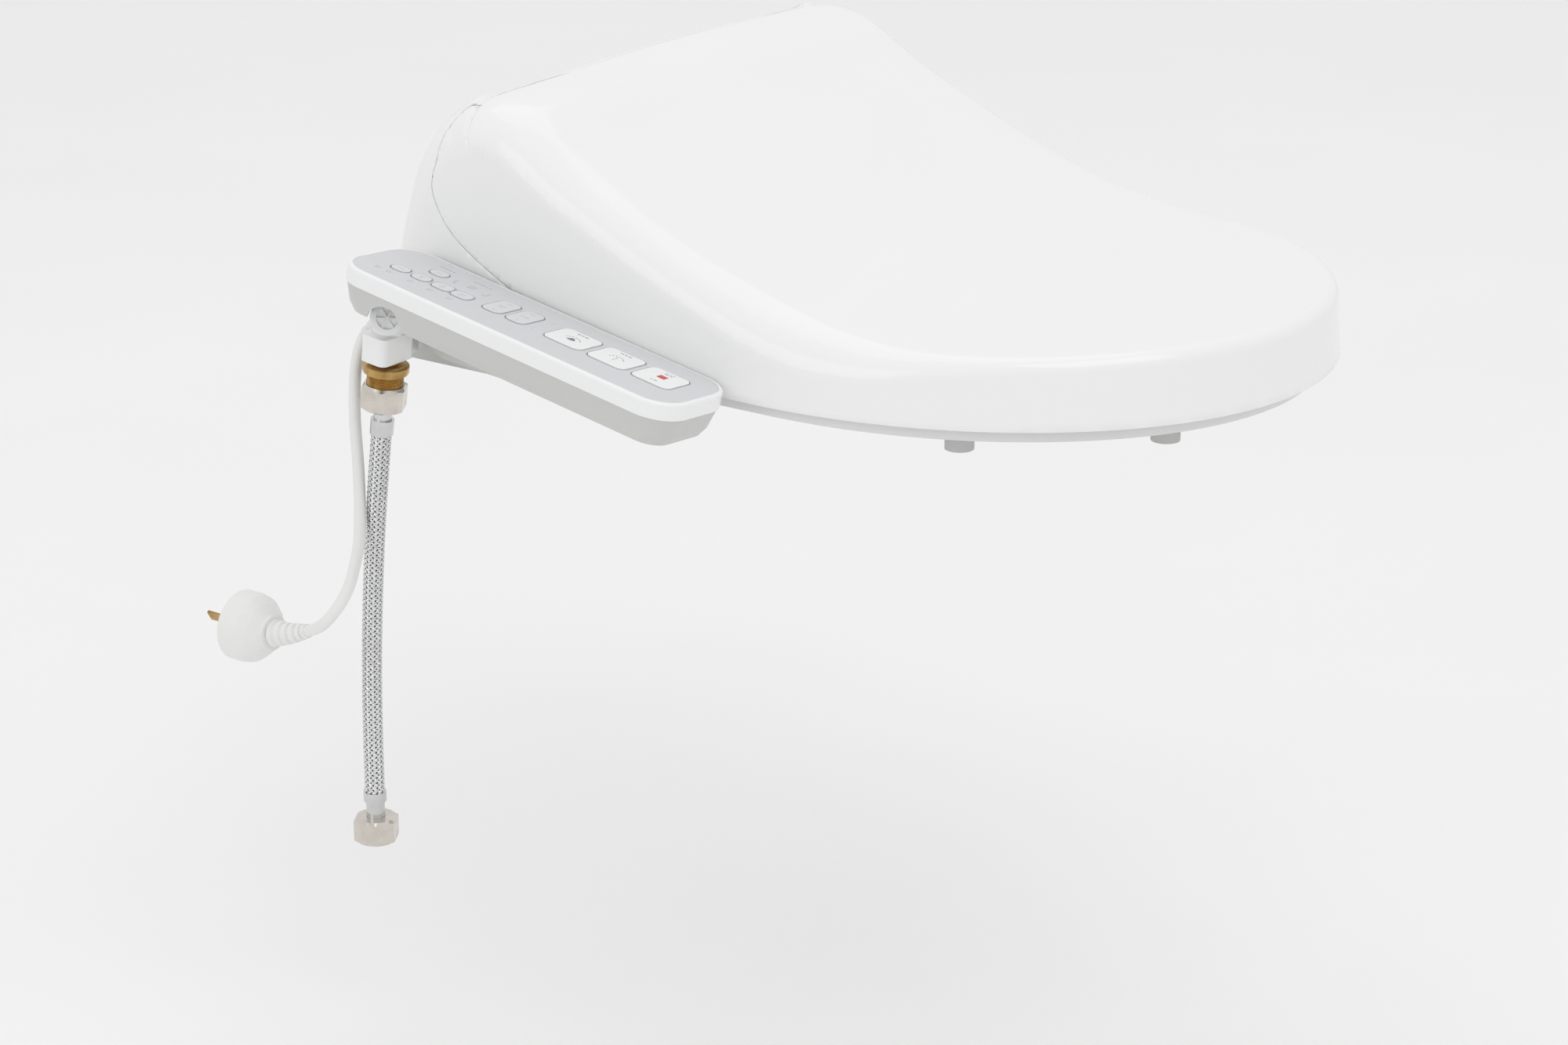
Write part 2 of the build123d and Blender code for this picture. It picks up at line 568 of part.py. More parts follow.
overlay_top = -0.1
overlay_low = overlay_top - OVERLAY_THICKNESS
support_low = overlay_low - SUPPORT_THICKNESS
rim = arm_slab(0.0, -RIM_HEIGHT, 0.0)
rim_top = rim.faces().filter_by(lambda f: abs(f.normal_at().dot(up)) > 0.99).sort_by(Axis.Z)[-1]
rim = fillet(rim_top.edges(), 1.6)
rim -= arm_slab(OVERLAY_INSET - 0.1, overlay_low, 1.0)
rim -= arm_slab(RIM_WALL, -RIM_HEIGHT - 1, support_low)
overlay = arm_slab(OVERLAY_INSET, overlay_low, overlay_top)
for name in KEYS:
    rim -= key_slab(name, KEY_GAP, support_low - 1, overlay_low + 1)
    overlay -= key_slab(name, KEY_GAP, overlay_low - 1, overlay_top + 1)
parts["arm_rim"] = only(rim)
parts["panel_overlay"] = only(overlay)

mat_top = -KEY_DEPTH - KEY_TRAVEL - 1.4
board_top = mat_top - 0.8
skirt_top = support_low - 0.2
mat = arm_slab(RIM_WALL + 0.3, board_top, mat_top)
for name, (u0, u1, v0, v1, corner) in KEYS.items():
    key = key_slab(name, 0.0, -KEY_DEPTH, KEY_PROUD)
    skirt = key_slab(name, KEY_SKIRT, -KEY_DEPTH, skirt_top)
    if name.endswith("heat_key"):
        skirt = key_slab(name, 0.0, -KEY_DEPTH, skirt_top)
    if name.endswith("rocker"):
        skirt = key_slab(name, KEY_SKIRT, -KEY_DEPTH, skirt_top - ROCKER_ROOM)
    key += skirt
    if name.endswith("rocker"):
        key -= arm_plane * Pos(-(u0 + u1) / 2, (v0 + v1) / 2, -PIVOT_DEPTH) * Rot(0, 90, 0) * Cylinder(PIVOT_R, 40)
    parts[name] = only(key)
    mat += arm_drop(-(u0 + u1) / 2, (v0 + v1) / 2, 3.0, board_top, mat_top + 1.0)
parts["key_mat"] = only(mat)
parts["key_board"] = arm_slab(RIM_WALL + 0.5, -RIM_HEIGHT - 1.6, -RIM_HEIGHT - 0.2)


def tray_body(inset):
    """Tapered underside of the arm."""
    mid = Pos(ARM_REAR - ARM_LENGTH / 2, ARM_WIDTH / 2, 0)
    levels = [(-RIM_HEIGHT, 0.8), (-RIM_HEIGHT - TRAY_HEIGHT * 0.7, 4.2), (-RIM_HEIGHT - TRAY_HEIGHT, TRAY_INSET)]
    floor = inset if inset else 0.0
    sections = [
        arm_plane * mid * Pos(0, 0, z + floor * (i == 2)) * RectangleRounded(
            ARM_LENGTH - 2 * (d + inset), ARM_WIDTH - 2 * (d + inset), ARM_CORNER - d - inset)
        for i, (z, d) in enumerate(levels)]
    return loft(sections, ruled=True)


GUSSET_X = 212.0
GUSSET = [(24.0, 46.0), (24.0, 22.0), (2.0, 13.0), (-40.0, 9.0), (-86.0, 9.5), (-100.0, 14.0), (-104.0, 24.0)]
gusset = yz_prism(GUSSET, -GUSSET_X, -170.0) - case_outer - nose_body(LID_BOTTOM - 12.0, 160.0, -1.8, -60.0)
below_rim = arm_slab(-10.0, -RIM_HEIGHT - 60.0, -RIM_HEIGHT)
tray = tray_body(0.0) + (gusset & below_rim)
tray -= tray_body(2.5)
inlet_lean = radians(INLET_LEAN)
inlet_plane = Plane(origin=INLET, x_dir=(1, 0, 0), z_dir=(0, -sin(inlet_lean), cos(inlet_lean)))
vent_plane = Plane(origin=INLET, z_dir=VENT_NORMAL)


def inlet_slab(shape, s0, s1):
    """Extrude a flat shape from s0 to s1 down the inlet's axis."""
    return inlet_plane * Pos(0, 0, -s1) * extrude(shape, s1 - s0)


pocket = (BLOCK[0] + 2 * CLIP_REACH + 1.0, BLOCK[1] + 1.0)
tray -= inlet_slab(Circle(VALVE_R), -30.0, BLOCK_TOP)
tray -= inlet_slab(Rectangle(*pocket), BLOCK_TOP - 0.5, BLOCK_TOP + 60.0)
tray -= vent_plane * extrude(Circle(VENT_R + 0.3), 40.0)
parts["arm_tray"] = only(tray)

# ---------------------------------------------------------------- water inlet
valve = inlet_slab(Circle(VALVE_R), -9.0, 12.0)
valve += inlet_slab(Circle(VALVE_R - 2.0), -14.0, -9.0)
vent_boss = vent_plane * extrude(Circle(VENT_R), VENT_REACH)
parts["inlet_valve"] = only(valve + vent_boss)
cap_plane = vent_plane * Pos(0, 0, VENT_REACH)
cap = cap_plane * (extrude(Circle(VENT_R - 1.0), 2.0) - Pos(0, 0, 0.8) * extrude(Circle(VENT_R - 3.8), 2.0))
for i in range(3):
    cap += cap_plane * Rot(0, 0, 60 * i) * Pos(0, 0, 1.2) * Box(2 * (VENT_R - 3.8), 1.2, 0.8)
parts["vent_cap"] = only(cap)

block = inlet_slab(RectangleRounded(BLOCK[0], BLOCK[1], 4.0), BLOCK_TOP, BLOCK_TOP + BLOCK[2])
block -= inlet_slab(Circle(VALVE_R), BLOCK_TOP - 5, 12.0)
parts["clip_block"] = only(block)
block_foot = BLOCK_TOP + BLOCK[2]
strip = inlet_slab(Pos(BLOCK[0] / 2 + 0.8, 0) * Rectangle(1.6, 12.0), BLOCK_TOP + 1.0, BLOCK_TOP + 15.0)
strip += inlet_slab(Pos((BLOCK[0] + CLIP_REACH) / 2, -5.2) * Rectangle(CLIP_REACH, 1.6), BLOCK_TOP + 1.0,
                    BLOCK_TOP + 15.0)
parts["steel_clip"] = only(strip)

collar_top = block_foot + 2.5
thread_top = collar_top + 6.0
nut_top = thread_top + 6.5
adapter = inlet_slab(Circle(7.0), block_foot, collar_top)
adapter += inlet_slab(Circle(COLLAR_R), collar_top, thread_top)
adapter += inlet_slab(Circle(THREAD_R), thread_top, nut_top + 8.0)
adapter -= inlet_slab(Circle(4.5), block_foot - 1.0, nut_top + 9.0)
parts["brass_adapter"] = only(adapter)

nut = inlet_slab(RegularPolygon(NUT_FLATS / 2, 6, major_radius=False), nut_top, nut_top + NUT_HEIGHT)
nut -= inlet_slab(Circle(THREAD_R + 0.02), nut_top - 1, nut_top + NUT_HEIGHT - 4.0)
nut -= inlet_slab(Circle(TUBE_R), nut_top, nut_top + NUT_HEIGHT + 1)
top_nut = only(nut)

start = Vector(*HOSE_ROUTE[0])
first = (start - Vector(*HOSE_ROUTE[1])).normalized()
top_plane = Plane(origin=start, z_dir=first)
tube_reach = (inlet_plane.from_local_coords(Vector(0, 0, -(nut_top + NUT_HEIGHT - 3.0))) - start).length
ferrule = top_plane * extrude(Circle(CRIMP_R), 9.0) + top_plane * extrude(Circle(TUBE_R), 9.0)
tube_line = Plane(origin=start + first * 9.0,
                  z_dir=inlet_plane.from_local_coords(Vector(0, 0, -(nut_top + NUT_HEIGHT - 3.0)))
                  - (start + first * 9.0))
ferrule += tube_line * extrude(Circle(TUBE_R - 0.3), tube_reach - 9.0)
top_ferrule = only(ferrule)


def route_tube(route, radius):
    """A tube of straight runs and tangent arcs; each arc is as large as its two runs allow."""
    points = [Vector(*p) for p in route]
    radii = []
    for before, here, after in zip(points, points[1:], points[2:]):
        turn = radians((here - before).get_angle(after - here))
        shorter = min((here - before).length, (after - here).length)
        radii.append(0.45 * shorter / tan(turn / 2))
    path = FilletPolyline(*points, radius=radii)
    face = Plane(origin=path @ 0, z_dir=path % 0) * Circle(radius)
    return only(sweep(face, path=path))


parts["braided_hose"] = route_tube(HOSE_ROUTE, HOSE_R)
end = HOSE_ROUTE[-1]
low_crimp, low_tube = 6.0, 11.0
nut_low = end[2] - low_crimp - low_tube - NUT_HEIGHT + 1.0
bottom_ferrule = only(z_cylinder(CRIMP_R, end[0], end[1], end[2] - low_crimp, end[2])
                      + z_cylinder(TUBE_R, end[0], end[1], nut_low + SUPPLY_THREAD_DEPTH, end[2] - low_crimp))
parts["hose_ferrules"] = Compound(children=[top_ferrule, bottom_ferrule])
supply_nut = extrude(Pos(end[0], end[1], nut_low) * RegularPolygon(NUT_FLATS / 2, 6, major_radius=False),
                     NUT_HEIGHT)
supply_nut -= z_cylinder(SUPPLY_THREAD_R, end[0], end[1], nut_low - 1, nut_low + SUPPLY_THREAD_DEPTH)
supply_nut -= z_cylinder(TUBE_R, end[0], end[1], nut_low, end[2])
parts["hose_nuts"] = Compound(children=[top_nut, only(supply_nut)])

# ---------------------------------------------------------------- mains cord and plug
wall_x = -(LID_HALF_WIDTH - lean(GLAND_Z))
gland = x_cylinder(5.0, wall_x - 1.0, wall_x + 6.0, GLAND_Y, GLAND_Z)
gland += x_cylinder(GLAND_R, wall_x - 2.5, wall_x - 0.6, GLAND_Y, GLAND_Z)
nose_length = wall_x - 2.5 - CORD_ROUTE[0][0]
gland += Pos(wall_x - 2.5 - nose_length / 2, GLAND_Y, GLAND_Z) * Rot(0, -90, 0) * Cone(
    5.6, CORD_R + 0.8, nose_length)
cord = route_tube(CORD_ROUTE, CORD_R)
parts["cord_gland"] = only(gland - cord)
parts["power_cord"] = cord

plug_outline = [(0, 0), (PLUG_R, 0), (PLUG_R, 8.0), (PLUG_R - 1.0, 13.0), (PLUG_R - 4.5, 18.0), (10.5, 22.5),
                (10.5, PLUG_FACE_Y - BOOT_START_Y), (0, PLUG_FACE_Y - BOOT_START_Y)]
plug_face = make_face(Polyline(*plug_outline, close=True))
plug_body = Pos(PLUG_X, PLUG_FACE_Y, PLUG_Z) * revolve(plug_face, axis=Axis.Y).mirror(Plane.XZ)
parts["plug_body"] = only(plug_body)
boot_end = Vector(*CORD_ROUTE[-1])
boot_start = Vector(PLUG_X, BOOT_START_Y, PLUG_Z)
boot_line = Plane(origin=boot_end, z_dir=boot_start - boot_end)
boot = boot_line * Pos(0, 0, (boot_start - boot_end).length / 2) * Cone(
    5.0, 6.6, (boot_start - boot_end).length)
boot -= box(PLUG_X - 20, PLUG_X + 20, BOOT_START_Y, BOOT_START_Y + 20, PLUG_Z - 20, PLUG_Z + 20)
parts["plug_boot"] = only(boot - cord)


def plug_pin(x, z, turn):
    return Pos(PLUG_X + x, PLUG_FACE_Y + 9.0, PLUG_Z + z) * Rot(0, turn, 0) * Box(6.3, 18.0, 1.6)


parts["plug_pins"] = Compound(children=[plug_pin(7.0, 4.0, -60), plug_pin(-7.0, 4.0, 60),
                                        plug_pin(0, -10.3, 90)])

# ---------------------------------------------------------------- nozzles
drop = radians(NOZZLE_ANGLE)
nozzle_dir = Vector(0, -cos(drop), -sin(drop))


def nozzle_plane(x, back):
    """Plane across the nozzle's axis, a distance behind the casing's front, facing the tip."""
    place = Vector(x, CASE_FRONT, NOZZLE_EXIT_Z) - nozzle_dir * back
    return Plane(origin=place, x_dir=(1, 0, 0), z_dir=nozzle_dir)


def nozzle(x):
    tail = nozzle_plane(x, NOZZLE_BACK + NOZZLE_LENGTH)
    tube = tail * extrude(Circle(NOZZLE_R), NOZZLE_LENGTH - 3.0)
    tube += tail * Pos(0, 0, NOZZLE_LENGTH - 3.0) * extrude(Circle(NOZZLE_R), 3.0, taper=20)
    jets = Plane(origin=tail.origin + nozzle_dir * (NOZZLE_LENGTH - 10.0), z_dir=(0, -sin(drop), cos(drop)))
    for dx in (-2.2, 0.0, 2.2):
        tube -= jets * Pos(dx, 0, 3.0) * extrude(Circle(0.7), 6.0)
    return only(tube)


def nozzle_guide():
    tail = nozzle_plane(0.0, NOZZLE_BACK + NOZZLE_LENGTH - 2.0)
    guide_length = NOZZLE_LENGTH - 6.0
    guide = tail * extrude(Rectangle(40.0, 18.0), guide_length)
    for x in NOZZLE_X:
        guide -= nozzle_plane(x, 200.0) * extrude(Circle(NOZZLE_R + 0.15), 300.0)
    guide -= tail * Pos(0, 7.5, 10.0) * extrude(Rectangle(30.0, 8.0), guide_length - 20.0)
    return only(guide)


parts["nozzle_guide"] = nozzle_guide()
parts["rear_wash_nozzle"] = nozzle(NOZZLE_X[0])
parts["front_wash_nozzle"] = nozzle(NOZZLE_X[1])
motor_plane = nozzle_plane(0.0, NOZZLE_BACK + 50.0)
parts["nozzle_motor"] = only(Plane(origin=motor_plane.origin, x_dir=nozzle_dir, z_dir=(1, 0, 0))
                             * Pos(0, 0, 20.0) * extrude(Circle(10.0), 16.0))


def flap(x0, x1, top_z, length):
    """A flap that hangs in the casing's front wall from a round top edge."""
    axis_y = CASE_FRONT + FLAP_THICKNESS / 2
    body = box(x0, x1, CASE_FRONT, CASE_FRONT + FLAP_THICKNESS, top_z - length, top_z)
    return only(body + x_cylinder(FLAP_THICKNESS / 2, x0, x1, axis_y, top_z))


parts["dryer_flap"] = flap(DRYER_OPENING[0] + 1.0, DRYER_OPENING[1] - 1.0, DRYER_OPENING[3] - 1.5,
                           DRYER_OPENING[3] - DRYER_OPENING[2] - 2.5)

# ---------------------------------------------------------------- dryer
scroll = z_cylinder(FAN_R, FAN_X, FAN_Y, *FAN_Z)
scroll += box(FAN_X - FAN_R, DUCT_X[1], FAN_Y - SCROLL_REACH, FAN_Y, FAN_Z[0], DUCT_Z[1] - 1.0)
scroll -= z_cylinder(FAN_R - 2.0, FAN_X, FAN_Y, FAN_Z[0] + 2.0, FAN_Z[1] - 2.0)
scroll -= box(FAN_X - FAN_R + 2.0, DUCT_X[1] - 2.0, FAN_Y - 50.0, FAN_Y - 20.0, FAN_Z[0] + 2.0, DUCT_Z[1] - 3.0)
scroll -= z_cylinder(14.0, FAN_X, FAN_Y, FAN_Z[1] - 3.0, FAN_Z[1] + 1.0)
parts["fan_scroll"] = only(scroll)
impeller = z_cylinder(25.0, FAN_X, FAN_Y, FAN_Z[0] + 4.0, FAN_Z[0] + 6.0)
impeller += z_cylinder(4.0, FAN_X, FAN_Y, FAN_Z[0] + 4.0, FAN_Z[1] - 1.0)
for i in range(18):
    blade = Pos(FAN_X, FAN_Y, FAN_Z[0] + 14.0) * Rot(0, 0, 20 * i) * Pos(20.5, 0, 0) * Rot(0, 0, 35)
    impeller += blade * Box(7.0, 1.2, 18.0)
parts["fan_impeller"] = only(impeller)
motor = z_cylinder(13.5, FAN_X, FAN_Y, FAN_Z[1] + 0.5, FAN_Z[1] + 14.0)
parts["fan_motor"] = only(motor)
duct = box(*DUCT_X, CASE_FRONT + CASE_WALL, FAN_Y - SCROLL_REACH, *DUCT_Z)
duct -= box(DRYER_OPENING[0], DRYER_OPENING[1], CASE_FRONT, 0.0, DRYER_OPENING[2], DRYER_OPENING[3])
parts["dryer_duct"] = only(duct)

# ---------------------------------------------------------------- water heating and electrics
TANK = (46.0, 106.0, -72.0, 8.0, 14.0, 56.0)
tank = box(*TANK)
tank = fillet(tank.edges().filter_by(Axis.Z), 8.0)
tank -= box(TANK[0] + 2.5, TANK[1] - 2.5, TANK[2] + 2.5, TANK[3] - 2.5, TANK[4] + 2.5, TANK[5] - 2.5)
parts["water_tank"] = only(tank)
element = Vector((TANK[0] + TANK[1]) / 2, (TANK[2] + TANK[3]) / 2, TANK[4] + 14.0)
parts["tank_heater"] = only(Pos(element) * (Torus(20.0, 3.0) + Pos(0, 0, 8.0) * Torus(20.0, 3.0)
                                           + Pos(20.0, 0, 4.0) * Cylinder(2.5, 8.0)))
parts["solenoid_valve"] = only(box(-160.0, -122.0, -26.0, -4.0, 22.0, 40.0)
                               + z_cylinder(9.0, -141.0, -15.0, 40.0, 52.0))
parts["main_board"] = only(box(120.0, 138.0, -60.0, 40.0, 21.0, 22.6)
                           + box(122.0, 134.0, -40.0, -20.0, 22.6, 30.0) + box(122.0, 136.0, 5.0, 30.0, 22.6, 34.0))

# release button in the side of the casing
parts["release_button"] = release_button(0.0)

if __name__ == "__main__":
    os.makedirs("parts", exist_ok=True)
    for node, shape in parts.items():
        shape.label = node
        export_step(shape, f"parts/{node}.step")
    print(len(parts), "parts")
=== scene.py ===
import bmesh
import bpy
import json
from math import cos, pi, radians, sin, tan
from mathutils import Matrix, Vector


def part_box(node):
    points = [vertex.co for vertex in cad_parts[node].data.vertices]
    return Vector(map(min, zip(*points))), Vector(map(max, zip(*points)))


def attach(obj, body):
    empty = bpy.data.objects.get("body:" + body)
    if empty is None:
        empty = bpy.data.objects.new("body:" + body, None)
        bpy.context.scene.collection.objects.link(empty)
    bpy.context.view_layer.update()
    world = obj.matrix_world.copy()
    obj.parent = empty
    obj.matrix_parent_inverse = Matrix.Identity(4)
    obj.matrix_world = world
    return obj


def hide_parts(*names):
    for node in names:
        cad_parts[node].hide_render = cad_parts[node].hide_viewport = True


# Electric bidet seat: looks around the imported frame. Lengths below are millimetres in the row
# frame, and become metres when a mesh is made.
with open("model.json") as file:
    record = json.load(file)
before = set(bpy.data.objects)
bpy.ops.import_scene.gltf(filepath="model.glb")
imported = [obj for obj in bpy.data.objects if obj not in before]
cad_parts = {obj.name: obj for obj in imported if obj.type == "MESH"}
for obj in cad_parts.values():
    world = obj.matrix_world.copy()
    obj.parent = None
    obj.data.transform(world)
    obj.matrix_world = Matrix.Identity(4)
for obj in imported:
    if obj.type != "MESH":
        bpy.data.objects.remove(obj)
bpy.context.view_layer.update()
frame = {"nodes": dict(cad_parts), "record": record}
nodes = frame["nodes"]
MM = 0.001

# ---------------------------------------------------------------- camera
CAMERA_PLACE = (-1.748, -1.3187, 0.627)
CAMERA_HEADING = 35.264       # degrees from +X towards +Y
CAMERA_PITCH = 19.43          # degrees down
SENSOR = 36.0
LENS = 86.31

heading, pitch_down = radians(CAMERA_HEADING), radians(CAMERA_PITCH)
look = Vector((cos(heading) * cos(pitch_down), sin(heading) * cos(pitch_down), -sin(pitch_down)))
camera_data = bpy.data.cameras.new("camera")
camera_data.sensor_width = SENSOR
camera_data.lens = LENS
camera = bpy.data.objects.new("camera", camera_data)
camera.location = CAMERA_PLACE
camera.rotation_mode = "QUATERNION"
camera.rotation_quaternion = look.to_track_quat("-Z", "Y")
bpy.context.scene.collection.objects.link(camera)
bpy.context.scene.camera = camera


# ---------------------------------------------------------------- material tools
class Shader:
    """A Principled material, with short calls for the nodes that feed it."""

    def __init__(self, name, color, roughness, metallic=0.0):
        self.material = bpy.data.materials.new(name)
        self.material.use_nodes = True
        self.tree = self.material.node_tree
        self.bsdf = self.tree.nodes["Principled BSDF"]
        self.color = color
        self.roughness = roughness
        self.bsdf.inputs["Metallic"].default_value = metallic
        self.coord = self.tree.nodes.new("ShaderNodeTexCoord").outputs["Object"]

    def node(self, kind, **settings):
        made = self.tree.nodes.new(kind)
        for key, value in settings.items():
            if key in made.inputs:
                made.inputs[key].default_value = value
            else:
                setattr(made, key, value)
        return made

    def link(self, output, socket):
        self.tree.links.new(output, socket)

    def stretched(self, scale):
        mapping = self.node("ShaderNodeMapping")
        mapping.inputs["Scale"].default_value = scale
        self.link(self.coord, mapping.inputs["Vector"])
        return mapping.outputs["Vector"]

    def noise(self, scale, detail=2.0, stretch=None):
        made = self.node("ShaderNodeTexNoise", Scale=scale, Detail=detail)
        self.link(self.stretched(stretch) if stretch else self.coord, made.inputs["Vector"])
        return made.outputs["Fac"]

    def ranged(self, value, low, high):
        made = self.node("ShaderNodeMapRange")
        made.inputs["From Min"].default_value = 0.3
        made.inputs["From Max"].default_value = 0.7
        made.inputs["To Min"].default_value = low
        made.inputs["To Max"].default_value = high
        self.link(value, made.inputs["Value"])
        return made.outputs["Result"]

    def tint(self, value, other):
        """Base colour from the main colour to another by a value from 0 to 1."""
        mix = self.node("ShaderNodeMix", data_type="RGBA")
        mix.inputs[6].default_value = (*self.color, 1.0)
        mix.inputs[7].default_value = (*other, 1.0)
        self.link(self.ranged(value, 0.0, 1.0), mix.inputs[0])
        self.link(mix.outputs[2], self.bsdf.inputs["Base Color"])

    def rough(self, value, spread):
        self.link(self.ranged(value, self.roughness - spread, self.roughness + spread),
                  self.bsdf.inputs["Roughness"])

    def bump(self, value, strength, distance):
        made = self.node("ShaderNodeBump", Strength=strength, Distance=distance)
        self.link(value, made.inputs["Height"])
        self.link(made.outputs["Normal"], self.bsdf.inputs["Normal"])


def plastic(name, color, roughness, grain=700.0, depth=0.00002, strength=0.12, shift=0.03, coat=0.0):
    """Moulded plastic: slight tint change, uneven gloss and a fine surface grain."""
    made = Shader(name, color, roughness)
    broad = made.noise(9.0, 3.0)
    made.tint(broad, [c * (1.0 - shift) for c in color])
    made.rough(made.noise(60.0, 4.0), roughness * 0.18)
    made.bump(made.noise(grain, 3.0), strength, depth)
    if coat:
        made.bsdf.inputs["Coat Weight"].default_value = coat
        made.bsdf.inputs["Coat Roughness"].default_value = 0.04
    return made.material


def metal(name, color, roughness, stretch=(1.0, 1.0, 1.0), grain=500.0, depth=0.00003, shift=0.12,
          tarnish=None):
    """Metal with drawn or turned marks and patches of a darker tone."""
    made = Shader(name, color, roughness, metallic=1.0)
    made.tint(made.noise(120.0, 5.0), tarnish or [c * (1.0 - shift) for c in color])
    marks = made.noise(grain, 4.0, stretch)
    made.rough(marks, roughness * 0.35)
    made.bump(marks, 0.25, depth)
    return made.material


def braid_metal():
    """Bright wire: fine lines along the wires, and painted shade: noise darkens patches of the wire towards
    grey to stand for the shade in the braid's hollows.
    """
    made = Shader("braid_wire", (0.90, 0.90, 0.89), 0.2, metallic=1.0)
    # painted shade: noise-spread darker grey on the wire stands for the shade in the hollows between bundles
    made.tint(made.noise(900.0, 2.0), (0.52, 0.53, 0.54))
    made.rough(made.noise(300.0, 3.0), 0.06)
    made.bump(made.noise(2600.0, 2.0), 0.35, 0.00006)
    return made.material


def printed(name, color, roughness=0.42):
    """Ink printed on film: slightly uneven cover."""
    made = Shader(name, color, roughness)
    made.tint(made.noise(900.0, 4.0), [min(1.0, c * 1.12 + 0.02) for c in color])
    made.rough(made.noise(300.0), 0.05)
    return made.material


GLOSS_WHITE = plastic("gloss_white", (0.875, 0.878, 0.874), 0.16, grain=260.0, strength=0.05, shift=0.012,
                      coat=0.35)
RIM_WHITE = plastic("rim_white", (0.88, 0.885, 0.885), 0.22, grain=420.0, strength=0.06, shift=0.012,
                    coat=0.2)
SATIN_WHITE = plastic("satin_white", (0.84, 0.845, 0.84), 0.36, grain=900.0, strength=0.12)
KEY_WHITE = plastic("key_white", (0.87, 0.885, 0.885), 0.30, grain=1300.0, strength=0.10, shift=0.015)
FILM_KEY = plastic("film_key", (0.70, 0.71, 0.725), 0.34, grain=1500.0, strength=0.10, shift=0.015)
FILM_SILVER = plastic("film_silver", (0.655, 0.665, 0.685), 0.36, grain=1500.0, strength=0.14, shift=0.04)
WARM_GREY = plastic("warm_grey", (0.60, 0.605, 0.585), 0.44, grain=1100.0, strength=0.22, shift=0.03)
INNER_GREY = plastic("inner_grey", (0.34, 0.345, 0.35), 0.5, grain=900.0, strength=0.3)
RUBBER = plastic("rubber_grey", (0.52, 0.52, 0.515), 0.7, grain=1400.0, strength=0.35, shift=0.08)
CIRCUIT = plastic("circuit_green", (0.03, 0.14, 0.07), 0.35, grain=400.0, strength=0.4, shift=0.4)
CORD_WHITE = plastic("cord_white", (0.83, 0.83, 0.815), 0.40, grain=800.0, strength=0.12, shift=0.02)
STEEL = metal("steel", (0.66, 0.66, 0.65), 0.27, stretch=(1.0, 1.0, 14.0), grain=300.0)
NICKEL = metal("nickel", (0.70, 0.655, 0.60), 0.24, grain=260.0)
FERRULE = metal("ferrule_steel", (0.68, 0.68, 0.68), 0.2, stretch=(1.0, 1.0, 9.0), grain=400.0)
BRASS = metal("brass", (0.62, 0.42, 0.17), 0.26, stretch=(1.0, 1.0, 16.0), grain=240.0,
              tarnish=(0.36, 0.21, 0.07))
FOIL = metal("foil", (0.75, 0.75, 0.75), 0.35, grain=120.0, depth=0.0002)
BRAID = braid_metal()
# painted shade: the near-black core stands for the shade in the gaps between the braid's bundles
BRAID_SHADE_CORE = metal("braid_core", (0.10, 0.10, 0.105), 0.55, grain=900.0)
INK = printed("ink_grey", (0.36, 0.37, 0.385))
INK_PALE = printed("ink_pale", (0.47, 0.48, 0.50))
INK_DARK = printed("ink_dark", (0.20, 0.205, 0.21))
INK_RED = printed("ink_red", (0.56, 0.05, 0.045))

SLOT_MATERIAL = {
    "white_gloss": GLOSS_WHITE, "white_satin": SATIN_WHITE, "panel_silver": FILM_SILVER,
    "warm_grey": WARM_GREY, "key_white": KEY_WHITE, "inner_plastic": INNER_GREY, "circuit": CIRCUIT,
    "rubber_grey": RUBBER,
    "cord_white": CORD_WHITE, "steel": STEEL, "nickel": NICKEL, "brass": BRASS, "braid": BRAID, "foil": FOIL,
}

NODE_MATERIAL = {"hose_ferrules": FERRULE, "arm_rim": RIM_WHITE, "vent_cap": RIM_WHITE}
slot_of = {s["node"]: s["material_slot"] for s in frame["record"]["subparts"]}


# ---------------------------------------------------------------- mesh tools
def make_object(name, points, faces, material, smooth_angle=35.0):
    mesh = bpy.data.meshes.new(name)
    mesh.from_pydata([Vector(p) * MM for p in points], [], faces)
    mesh.validate()
    made = bpy.data.objects.new(name, mesh)
    bpy.context.scene.collection.objects.link(made)
    mesh.materials.append(material)
    finish_normals(made, smooth_angle)
    return made


def finish_normals(piece, smooth_angle=35.0):
    mesh = piece.data
    mesh.polygons.foreach_set("use_smooth", [True] * len(mesh.polygons))
    mesh.set_sharp_from_angle(angle=radians(smooth_angle))
    mesh.update()


def baked(piece, smooth_angle=35.0):
    """Apply all of a piece's modifiers."""
    bpy.context.view_layer.update()
    graph = bpy.context.evaluated_depsgraph_get()
    mesh = bpy.data.meshes.new_from_object(piece.evaluated_get(graph))
    piece.modifiers.clear()
    old = piece.data
    piece.data = mesh
    bpy.data.meshes.remove(old)
    finish_normals(piece, smooth_angle)
    return piece


def welded(piece, distance=0.02):
    made = piece.modifiers.new("weld", "WELD")
    made.merge_threshold = distance * MM
    return baked(piece)


def bevel(piece, width, segments=2, angle=40.0):
    made = piece.modifiers.new("bevel", "BEVEL")
    made.width = width * MM
    made.segments = segments
    made.limit_method = "ANGLE"
    made.angle_limit = radians(angle)
    made.harden_normals = True
    return piece


def strips(rows, closed=False):
    """Faces between rows of equally many points, numbered row after row."""
    width = len(rows[0])
    faces = []
    for i in range(len(rows) - 1):
        for j in range(width if closed else width - 1):
            k = (j + 1) % width
            faces.append((i * width + j, i * width + k, (i + 1) * width + k, (i + 1) * width + j))
    return faces


